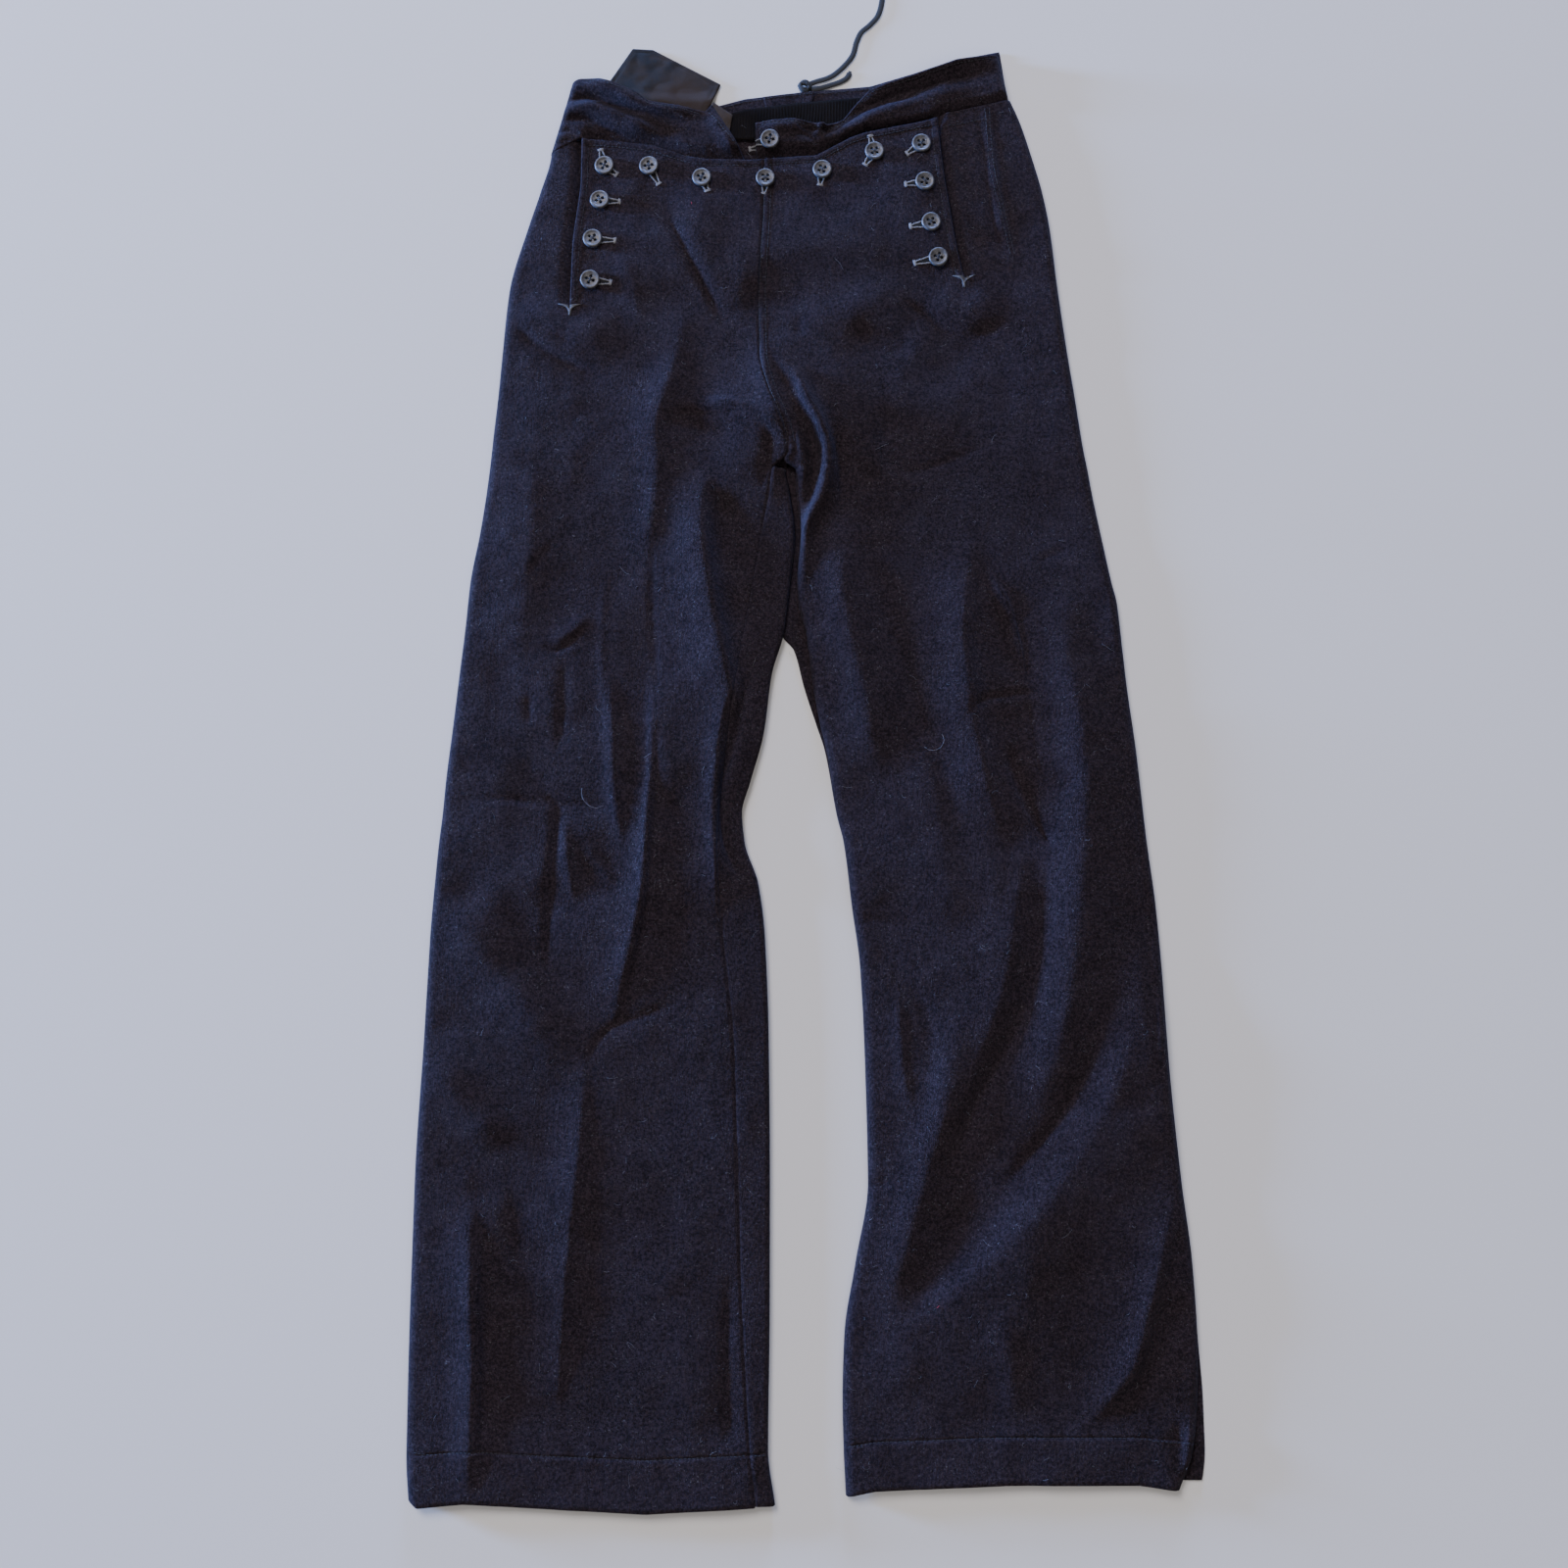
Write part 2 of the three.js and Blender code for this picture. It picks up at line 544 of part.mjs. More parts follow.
function frontLeft() {
  const slit = (y) => read(LEFT_SLIT, 'y', 'x', y);
  const inner = (y) => left('inner', y);
  const outer = (y) => left('outer', y);
  const crest = (y) => read(CREST, 'y', 'off', y);
  const atSeam = (y) => y > INSEAM_TOP + 1;
  const innerSteps = [
    (y) => (atSeam(y) ? SEAM_GAP / 2 : HALF),
    (y) => Math.max(0.14 * crest(y), 1.7),
    (y) => 0.36 * crest(y) + 0.6,
    (y) => 0.7 * crest(y),
    crest,
    (y) => crest(y) + 7,
  ];
  const outerSteps = [step(6.5), step(2.6), step(HALF)];
  const lines = frontLines(inner, slit, outer, innerSteps, 7, 4, outerSteps);
  const slitLine = innerSteps.length + 6;
  const grid = ROWS.map((row) => lines.map((line, j) => {
    const y = shifted(row, edge(LEFT_HEM, line(0)), topOf(LEFT_TOP, line));
    const x = line(y);
    const flap = j <= slitLine ? FLAP_LIFT * ease(LEFT_SLIT_END, LEFT_SLIT_END + 30, y) : 0;
    const z = rolled(frontZ(x, y) + flap, outer(y) - x);
    return at(x, y, atSeam(row) ? z : rolled(z, x - inner(y)));
  }));
  const open = (i, j) => j === slitLine && ROWS[i] > LEFT_SLIT_END - 8;
  const turned = (i, j) => (i < 2 && j > 2 && j < lines.length - 3 ? HALF + HEM_EXTRA : HALF);
  return shell(grid, (i, j) => !open(i, j), turned, evenly(HALF));
}

// Wearer's right back: flat on the floor, then turned up and over at the inner edge of the leg,
// where it meets the front at the inseam. The turn ends at the crotch.

function backRight() {
  const flat = 3;
  const turns = 4;
  const strip = 2;
  const inset = 8;
  const last = ROWS.findIndex((row) => row === INSEAM_TOP);
  const grid = ROWS.map((row, i) => {
    const points = [];
    const inLeg = i <= last;
    const edgeX = inLeg ? right('inner', row) - HALF - INSEAM_ROLL : CENTRE_BACK - SEAM_GAP / 2;
    const stops = [HALF * 0.6, inset, 120, edgeX];
    for (let j = 0; j <= flat; j += 1) {
      const guess = right('outer', row) + (j < flat ? stops[j] : 0);
      const top = edge(BACK_TOP, j < flat ? guess : edgeX) - SEAM_GAP;
      const y = shifted(row, RIGHT_BACK_HEM, top);
      points.push(at(j < flat ? right('outer', y) + stops[j] : edgeX, y, BACK_Z));
    }
    const y = shifted(row, RIGHT_BACK_HEM - 3, TOP_Y);
    const middle = BACK_Z + INSEAM_ROLL;
    for (let j = 1; j <= turns; j += 1) {
      const angle = (j / turns) * Math.PI;
      points.push(at(edgeX + INSEAM_ROLL * Math.sin(angle), y, middle - INSEAM_ROLL * Math.cos(angle)));
    }
    const seamX = (inLeg ? right('seam', row) : -10) + SEAM_GAP / 2;
    const topZ = BACK_Z + 2 * INSEAM_ROLL;
    for (let j = 1; j <= strip; j += 1) {
      const t = j / strip;
      points.push(at(mix(edgeX, seamX, t), y, mix(topZ, frontZ(seamX, y), t)));
    }
    return points;
  });
  const keep = (i, j) => j < flat || i < last;
  const turned = (i, j) => (i < 2 && j > 0 && j < flat ? HALF + HEM_EXTRA : HALF);
  return shell(grid, keep, evenly(HALF), turned);
}

// Wearer's left back, flat on the floor. It shows past the front at the inner thigh and the hem.

function backLeft() {
  const inset = 12;
  const hemCorner = 32;
  const lines = [
    (y) => left('backInner', y) + (y > INSEAM_TOP + 1 ? SEAM_GAP / 2 : 0),
    (y) => left('backInner', y) + inset,
    (y) => left('backOuter', y) - 90,
    (y) => left('backOuter', y) - hemCorner,
    (y) => left('backOuter', y),
  ];
  const grid = ROWS.map((row) => lines.map((line) => {
    const y = shifted(row, LEFT_BACK_HEM, topOf(BACK_TOP, line) - SEAM_GAP);
    return at(line(y), y, BACK_Z);
  }));
  const turned = (i, j) => (i < 2 && j > 0 && j < lines.length - 2 ? HALF + HEM_EXTRA : HALF);
  return shell(grid, always, evenly(HALF), turned);
}

// Waistbands. Front ones run a little under the fall, and beside it they meet the leg's top edge.

function bandShell(columns, rows, lowX, topX, lowY, topY, z) {
  const grid = [];
  for (let i = 0; i <= rows; i += 1) {
    const row = [];
    for (let j = 0; j <= columns; j += 1) {
      const t = j / columns;
      const v = i / rows;
      const x = mix(lowX(t), topX(t), v);
      const y = mix(lowY(lowX(t)), topY(topX(t)), v);
      row.push(at(x, y, z(x, y, v)));
    }
    grid.push(row);
  }
  return shell(grid, always, evenly(HALF), evenly(HALF));
}

// Height of a front band: low under the fall, then up over its folds.
function bandZ(x, y, fallTop, besideFall) {
  const low = mix(BEARER_Z, FALL_Z, besideFall);
  const rise = ease(2, 14, y - fallTop);
  const z = mix(low, BAND_Z + foldHeight(bandFolds, x, y), rise);
  return Math.max(z, mix(low, LEAST_FALL_Z + 0.4, rise));
}

// Beside the fall a band meets the strip's top edge, and elsewhere it runs under the fall.
const STEP = 6.6;
const BAND_GAP = 0.6;
const besideRight = (x) => ease(RIGHT_BAND_ENDS.lowSlit + STEP, RIGHT_BAND_ENDS.lowSlit, x);
const besideLeft = (x) => ease(LEFT_BAND_ENDS.lowSlit - STEP, LEFT_BAND_ENDS.lowSlit, x);
const bandLowRight = (x) => edge(RIGHT_TOP, x) + mix(-UNDERLAP, BAND_GAP, besideRight(x));
const bandLowLeft = (x) => edge(LEFT_TOP, x) + mix(-UNDERLAP, BAND_GAP, besideLeft(x));

// Places along a line that bends once, at the share of its length given by bend.
const bent = (a, b, c, bend, t) => (t < bend ? mix(a, b, t / bend) : mix(b, c, (t - bend) / (1 - bend)));

function waistbandFrontRight() {
  const { lowSide, lowSlit, lowFront, topSide, topFront } = RIGHT_BAND_ENDS;
  const sideX = (v) => mix(lowSide, topSide, v);
  const z = (x, y, v) => {
    const height = bandZ(x, y, edge(RIGHT_TOP, x), besideRight(x));
    return rolled(height, x - sideX(v) + HALF);
  };
  const low = (t) => bent(lowSide, lowSlit, lowFront, 3 / 22, t);
  const top = (t) => mix(topSide, topFront, t);
  return bandShell(22, 8, low, top, bandLowRight, (x) => edge(RIGHT_BAND_TOP, x), z);
}

function waistbandFrontLeft() {
  const { lowFront, lowSlit, lowSide, topFront, topSide } = LEFT_BAND_ENDS;
  const sideX = (v) => mix(lowSide, topSide, v);
  const z = (x, y, v) => {
    const height = bandZ(x, y, edge(LEFT_TOP, x), besideLeft(x));
    return rolled(height, sideX(v) - x + HALF);
  };
  const low = (t) => bent(lowFront, lowSlit, lowSide, 17 / 24, t);
  const top = (t) => mix(topFront, topSide, t);
  return bandShell(24, 7, low, top, bandLowLeft, (x) => edge(LEFT_BAND_TOP, x), z);
}

function waistbandBack(low, top) {
  return bandShell(5, 2, low, top, (x) => edge(BACK_TOP, x), (x) => edge(BACK_BAND_TOP, x), () => BACK_Z);
}

// A level patch between four edges, thick on both sides of its middle.
function patch(columns, rows, place, reach) {
  const grid = [];
  for (let i = 0; i <= rows; i += 1) {
    grid.push([...Array(columns + 1).keys()].map((j) => place(j / columns, i / rows)));
  }
  return shell(grid, always, evenly(reach), evenly(reach));
}

// Bearers carry the buttons under the fall.

const RIGHT_BEARER_LOW = [
  { x: -176, y: 880 },
  { x: -166, y: 862 },
  { x: -120, y: 864 },
  { x: -98, y: 950 },
  { x: -18, y: 955 },
];
const LEFT_BEARER_LOW = [
  { x: -14, y: 955 },
  { x: 66, y: 955 },
  { x: 88, y: 880 },
  { x: 150, y: 878 },
  { x: 172, y: 900 },
];

function bearer(from, to, lowEdge, bandLow, columns) {
  const place = (u, v) => {
    const x = mix(from, to, u);
    const top = Math.min(bandLow(x), x < -150 ? 1000 : 1028) - SEAM_GAP - 0.2;
    return at(x, mix(edge(lowEdge, x), top, v), BEARER_Z);
  };
  return patch(columns, 2, place, HALF);
}

// The gusset closes the lacing gap from inside, and three rounds of lace cross the gap.

const GUSSET = { lowY: 1012, topY: 1052, lowHalf: 12, topHalf: 20, z: 2.6 };
const LACING_ROWS = [1021, 1034, 1047];

function gusset() {
  const place = (u, v) => {
    const half = mix(GUSSET.lowHalf, GUSSET.topHalf, v);
    return at(NOTCH.x + mix(-half, half, u), mix(GUSSET.lowY, GUSSET.topY, v), GUSSET.z);
  };
  return patch(2, 2, place, THIN_CLOTH / 2);
}

function lacing(y) {
  const half = mix(NOTCH.low, NOTCH.top, (y - 1008) / 51) - SEAM_GAP - 0.4;
  const place = (u, v) => at(NOTCH.x + mix(-half, half, u), y + LACE_WIDTH * (v - 0.5), LACE_Z + 0.15);
  return patch(2, 2, place, LACE_THICK / 2);
}

// Facing of the back waistband, inside and so on top, built where it shows.

const FACING = { from: -50, to: 72, lowY: 1018, aboveFall: 16, inset: 3, z: 3.9 };

function facing() {
  const place = (u, v) => {
    const x = mix(FACING.from, FACING.to, u);
    const low = Math.max(FACING.lowY, edge(LEFT_TOP, x) + FACING.aboveFall);
    return at(x, mix(low, edge(BACK_BAND_TOP, x) - FACING.inset, v), FACING.z);
  };
  return patch(6, 1, place, THIN_CLOTH / 2);
}

// End of the right waistband's lining, which sticks out past the band's slanted end.

const LINING = [[-66, 1034], [-44, 1020], [-41, 1038], [-56, 1049]];
const LINING_Z = 5.2;

function lining() {
  const [a, b, c, d] = LINING;
  const place = (u, v) => at(
    mix(mix(a[0], b[0], u), mix(d[0], c[0], u), v),
    mix(mix(a[1], b[1], u), mix(d[1], c[1], u), v),
    LINING_Z,
  );
  return patch(2, 2, place, THIN_CLOTH / 2);
}

// Inside pocket bag, turned up over the waist: it leaves the band and drops to the floor.

const BAG_NEAR = [[-150, 1052], [-66, 1031]];
const BAG_FAR = [{ x: -121, y: 1098 }, { x: -105, y: 1097 }, { x: -51, y: 1067 }];

function pocketBag() {
  const place = (u, v) => {
    const farX = mix(BAG_FAR[0].x, BAG_FAR[2].x, u);
    const x = mix(mix(BAG_NEAR[0][0], BAG_NEAR[1][0], u), farX, v);
    const y = mix(mix(BAG_NEAR[0][1], BAG_NEAR[1][1], u), edge(BAG_FAR, farX), v);
    const beyond = y - edge(BACK_BAND_TOP, x);
    return at(x, y, mix(3.1, 0.9, ease(3, 14, beyond)));
  };
  return patch(8, 7, place, BAG_CLOTH / 2);
}

// A four-hole button, built as a turned disc with a raised rim. The fine holes are left out.

function buttonGeometry() {
  const profile = [[0, 0], [6.6, 0], [7.5, 0.9], [7.5, 2.1], [6.6, BUTTON_H], [5.2, 2.3], [0, 2.0]];
  const points = profile.map(([x, y]) => new THREE.Vector2(x, y));
  return new THREE.LatheGeometry(points, 12).rotateX(Math.PI / 2);
}

// Highest point of a piece under a button.
function restingHeight(piece, x, y) {
  const ray = new THREE.Raycaster();
  let top = 0;
  for (const radius of [0, 0.5 * BUTTON_R, BUTTON_R]) {
    for (let k = 0; k < 16; k += 1) {
      const angle = (k / 16) * 2 * Math.PI;
      const from = at(x + radius * Math.cos(angle), y + radius * Math.sin(angle), 100);
      ray.set(from, at(0, 0, -1));
      const hits = ray.intersectObject(piece);
      if (hits.length > 0) top = Math.max(top, hits[0].point.z);
    }
  }
  return top;
}

function addButton(name, [x, y], piece) {
  const geometry = buttonGeometry().translate(x, y, restingHeight(piece, x, y) + SEAM_GAP);
  return add(name, geometry, plastic);
}

// A flat lace along a path on the floor, as an eight-sided section.

function laceGeometry(path) {
  const curve = new THREE.CatmullRomCurve3(path.map(([x, y]) => at(x, y, LACE_Z)));
  const section = new THREE.Shape();
  const w = LACE_WIDTH / 2;
  const h = LACE_THICK / 2;
  section.moveTo(h, -0.7 * w);
  for (const [a, b] of [[h, 0.7], [0.5 * h, 1], [-0.5 * h, 1], [-h, 0.7], [-h, -0.7], [-0.5 * h, -1], [0.5 * h, -1]]) {
    section.lineTo(a, b * w);
  }
  section.closePath();
  const steps = Math.round(curve.getLength() / LACE_STEP);
  return new THREE.ExtrudeGeometry(section, { steps, extrudePath: curve, curveSegments: 1 });
}

function knotGeometry() {
  const profile = [[0, 0.1], [3.6, 0.1], [4.4, 0.9], [4.4, 2.0], [3.4, 3.1], [0, 3.3]];
  const points = profile.map(([x, y]) => new THREE.Vector2(x, y));
  return new THREE.LatheGeometry(points, 10).rotateX(Math.PI / 2).translate(KNOT[0], KNOT[1], 0);
}

// The garment

const frontRightPiece = add('front_right', frontRight(), wool);
const frontLeftPiece = add('front_left', frontLeft(), wool);
add('back_right', backRight(), wool);
add('back_left', backLeft(), wool);
add('waistband_front_right', waistbandFrontRight(), wool);
const bandLeftPiece = add('waistband_front_left', waistbandFrontLeft(), wool);

const notchLeft = (y) => NOTCH.x - y;
add('waistband_back_right', waistbandBack(
  (t) => mix(BACK_BAND_ENDS.rightLow, notchLeft(NOTCH.low), t),
  (t) => mix(BACK_BAND_ENDS.rightTop, notchLeft(NOTCH.top), t),
), wool);
add('waistband_back_left', waistbandBack(
  (t) => mix(NOTCH.x + NOTCH.low, BACK_BAND_ENDS.leftLow, t),
  (t) => mix(NOTCH.x + NOTCH.top, BACK_BAND_ENDS.leftTop, t),
), wool);
add('gusset', gusset(), twill);
add('band_facing_back', facing(), twill);
add('band_lining_right', lining(), twill);
add('pocket_bag', pocketBag(), sateen);
add('bearer_right', bearer(-176, -18, RIGHT_BEARER_LOW, bandLowRight, 8), wool);
add('bearer_left', bearer(-14, 172, LEFT_BEARER_LOW, bandLowLeft, 9), wool);

for (const [i, [x, y]] of TOP_ROW.entries()) {
  const piece = x < right('seam', y) ? frontRightPiece : frontLeftPiece;
  addButton(`button_top_${i + 1}`, [x, y], piece);
}
RIGHT_ROW.forEach((place, i) => addButton(`button_right_${i + 1}`, place, frontRightPiece));
LEFT_ROW.forEach((place, i) => addButton(`button_left_${i + 1}`, place, frontLeftPiece));
addButton('button_band', BAND_BUTTON, bandLeftPiece);

for (const [i, y] of LACING_ROWS.entries()) add(`lacing_${i + 1}`, lacing(y), braid);

// Origin at the bottom centre of the garment itself, without the loose lace.

const box = new THREE.Box3().setFromObject(trousers);
const centre = box.getCenter(new THREE.Vector3());
trousers.position.set(-centre.x, -centre.y, -box.min.z);

add('lace_knot', knotGeometry(), braid);
add('lace_long', laceGeometry(LACE_PATH), braid);
add('lace_short', laceGeometry(LACE_END_PATH), braid);

export default trousers;
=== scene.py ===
"""Sailor trousers of navy wool, laid flat with the front up.

Lengths in the tables are the cutter's millimetres: y = 0 is the hem line, x = 0 lies close to the
centre back, and z is up from the surface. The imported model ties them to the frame, in metres.
"""

import math
from collections import namedtuple

import bpy
import numpy as np
from bpy.props import FloatProperty, FloatVectorProperty, IntProperty, PointerProperty
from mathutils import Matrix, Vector
from mathutils.bvhtree import BVHTree


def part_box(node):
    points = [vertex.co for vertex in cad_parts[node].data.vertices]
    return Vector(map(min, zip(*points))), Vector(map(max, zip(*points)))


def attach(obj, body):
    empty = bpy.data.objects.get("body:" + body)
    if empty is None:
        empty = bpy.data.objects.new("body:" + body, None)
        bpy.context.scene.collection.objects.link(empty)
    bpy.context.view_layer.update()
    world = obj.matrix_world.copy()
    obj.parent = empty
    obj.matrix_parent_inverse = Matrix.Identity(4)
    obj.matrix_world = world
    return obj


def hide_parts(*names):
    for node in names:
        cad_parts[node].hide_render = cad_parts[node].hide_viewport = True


bl_info = {
    "name": "Sailor trousers, laid flat",
    "version": (1, 0, 0),
    "blender": (4, 5, 0),
    "location": "3D View > Sidebar > Trousers",
    "description": "Cloth, sewing, buttons, lace and setting of a pair of broadfall wool trousers",
    "category": "Object",
}

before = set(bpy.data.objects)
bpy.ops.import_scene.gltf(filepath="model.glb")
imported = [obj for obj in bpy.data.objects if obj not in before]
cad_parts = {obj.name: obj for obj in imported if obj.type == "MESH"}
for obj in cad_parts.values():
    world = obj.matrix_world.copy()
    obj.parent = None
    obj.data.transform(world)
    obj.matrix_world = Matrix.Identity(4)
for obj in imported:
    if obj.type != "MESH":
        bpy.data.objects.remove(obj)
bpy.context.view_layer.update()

# Where the tables lie in the frame: the waistband's button is at a known place in both.
MM = 0.001
BAND_BUTTON = (-11.0, 1014.0)
button_low, button_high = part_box("button_band")
SHIFT = np.array([
    (button_low.x + button_high.x) / 2 - BAND_BUTTON[0] * MM,
    (button_low.y + button_high.y) / 2 - BAND_BUTTON[1] * MM,
    0.0,
])

# Cloth and its heights above the surface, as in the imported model
CLOTH = 1.8
HALF = CLOTH / 2
THIN = 1.0
BAG_CLOTH = 1.4
SEAM_GAP = 0.3
BACK_Z = HALF
BEARER_Z = 3.1
LEG_Z = 6.0
HEM_Z = 7.0
FALL_Z = 7.0
BAND_Z = 9.0
RIM_Z = 2.6
LEAST_Z = 3.2
LEAST_FALL_Z = 5.6
FLAP_LIFT = 1.8
ROLL = 6.0
INSEAM_ROLL = 2.4
SLIT = 1.6
UNDERLAP = 8.0
HEM_DEPTH = 32.0
INSEAM_TOP = 745.0
CROTCH_Y = 757.0
TOP_Y = 998.0
HEM_FADE = 160.0
FALL_START = 850.0
RIGHT_SLIT_END = 878.0
LEFT_SLIT_END = 898.0
CENTRE_BACK = 4.0

# How the front's height changes above the hem, and below and above the foot of the fall
HEM_EASE = 24
HEM_SAG = 0.6
FALL_EASE_LOW = 40
FALL_EASE_HIGH = 20

# Unevenness of the cloth: height, size of the bumps, and seed of each set
LEG_UNEVEN = [(0.55, 44, 3), (0.3, 21, 5), (0.1, 9, 7)]
LEAST_UNEVEN = [(0.12, 14, 9)]
BAND_UNEVEN = [(0.45, 24, 31), (0.2, 9, 33)]
FACING_UNEVEN = [(0.12, 18, 43)]
LINING_UNEVEN = [(0.2, 7, 45)]
GUSSET_UNEVEN = [(0.12, 9, 47)]

# Spacing of the fine cloth meshes
GRAIN = 2.7

RightLeg = namedtuple("RightLeg", "y outer seam inner")
RIGHT_LEG = [
    RightLeg(-4, -259, -20, -6), RightLeg(33, -262, -24, -11), RightLeg(130, -263, -30, -10),
    RightLeg(212, -263, -33, -10), RightLeg(315, -260, -37, -11), RightLeg(390, -258, -45, -14),
    RightLeg(428, -256, -48, -19), RightLeg(458, -254, -49.5, -29), RightLeg(480, -252, -48.5, -31),
    RightLeg(503, -250.5, -46.5, -25), RightLeg(540, -247, -42, -15), RightLeg(585, -243, -36, -9),
    RightLeg(617, -240, -30.5, 0), RightLeg(656, -237, -23.5, 4.5), RightLeg(694, -231, -17.5, 8),
    RightLeg(725, -227, -12, 4.5), RightLeg(745, -225, -9, 1), RightLeg(757, -224, 3, 4),
    RightLeg(771, -223, 1.5, 4), RightLeg(807, -220, -12, 4), RightLeg(837, -218, -19, 4),
    RightLeg(889, -214, -20, 4), RightLeg(945, -200, -17, 4), RightLeg(972, -192, -16, 4),
    RightLeg(1004, -184, -16, 4), RightLeg(1025, -183, -16, 4),
]

LeftLeg = namedtuple("LeftLeg", "y inner back_inner outer back_outer")
LEFT_LEG = [
    LeftLeg(-4, 43, 44, 268, 286), LeftLeg(36, 41.5, 42, 284, 292), LeftLeg(65, 41, 41.5, 288, 292),
    LeftLeg(110, 42.5, 43, 290, 290), LeftLeg(158, 50.5, 51, 288.5, 288), LeftLeg(215, 60, 60.5, 283, 282.5),
    LeftLeg(300, 58.5, 59, 277, 276.5), LeftLeg(367, 55.5, 56, 274.5, 274),
    LeftLeg(410, 50, 50.5, 272, 271.5),
    LeftLeg(459, 44, 44.5, 267, 266.5), LeftLeg(477, 39.5, 40, 265.5, 265),
    LeftLeg(527, 31.5, 31, 261.5, 261),
    LeftLeg(546, 27, 25, 259.5, 259), LeftLeg(574, 22, 16, 256.5, 256),
    LeftLeg(604, 18.2, 8.0, 254, 253.5), LeftLeg(617, 16.5, -1.5, 253, 252.5),
    LeftLeg(640, 11, 3.4, 251, 250.5), LeftLeg(656, 10, 5.2, 247.5, 247), LeftLeg(694, 12.5, 8.7, 240.5, 240),
    LeftLeg(725, 9.5, 5.2, 235, 234.5), LeftLeg(745, 9, 1.8, 232, 231.5), LeftLeg(757, 3, 4, 230, 229.5),
    LeftLeg(771, 1.5, 4, 228, 227.5), LeftLeg(807, -12, 4, 223.5, 223), LeftLeg(837, -19, 4, 219.5, 219),
    LeftLeg(889, -20, 4, 213.5, 213), LeftLeg(945, -17, 4, 208, 207.5), LeftLeg(972, -16, 4, 203.5, 203),
    LeftLeg(1002, -16, 4, 196, 195.5), LeftLeg(1033, -16, 4, 187, 186.5), LeftLeg(1053, -16, 4, 179, 178.5),
]

# Edges as (x, y) places: the fall's side openings run upwards, and hems and tops run across.
RIGHT_SLIT = [
    (-196, -4), (-190, 500), (-177, 750), (-166.5, 873), (-164.5, 930), (-159.5, 981), (-159.5, 1030),
]
LEFT_SLIT = [
    (205, -4), (186, 500), (150, 780), (140, 897), (134, 928), (130, 955), (125, 991), (121, 1036),
]
RIGHT_HEM = [(-262, 5), (-253, -3), (-221, 0), (-171, -3), (-96, -7), (-22, -3)]
LEFT_HEM = [(43, 4), (63, 8), (109, 10), (153, 12), (242, 12), (269, 8)]
LEFT_BACK_HEM = 14.0
RIGHT_BACK_HEM = 1.0
RIGHT_TOP = [
    (-184, 1004), (-159.6, 1017.5), (-158.4, 1015), (-132, 1013), (-104, 1009), (-76, 1000), (-62, 997.5),
    (-28, 997), (-16, 998),
]
LEFT_TOP = [
    (-16, 998), (26, 1000.5), (52, 1015), (65, 1020), (93, 1026), (120.4, 1032.5), (121.6, 1036.3),
    (178, 1050),
]
BACK_TOP = [(-184, 1006), (CENTRE_BACK, 1006), (178, 1049)]
RIGHT_BAND_TOP = [
    (-168, 1064), (-161, 1066), (-146, 1065), (-118, 1055), (-107, 1046), (-62, 1038), (-57, 1044),
]
LEFT_BAND_TOP = [
    (-23, 1029), (8, 1032), (33, 1027), (47, 1033), (58, 1046), (68, 1056), (103, 1068), (137, 1080),
    (171, 1088),
]
BACK_BAND_TOP = [
    (-168, 1062), (-130, 1052), (-90, 1046), (-52, 1048), (-31, 1054), (15, 1060), (69, 1065), (103, 1076),
    (137, 1088), (172, 1095),
]

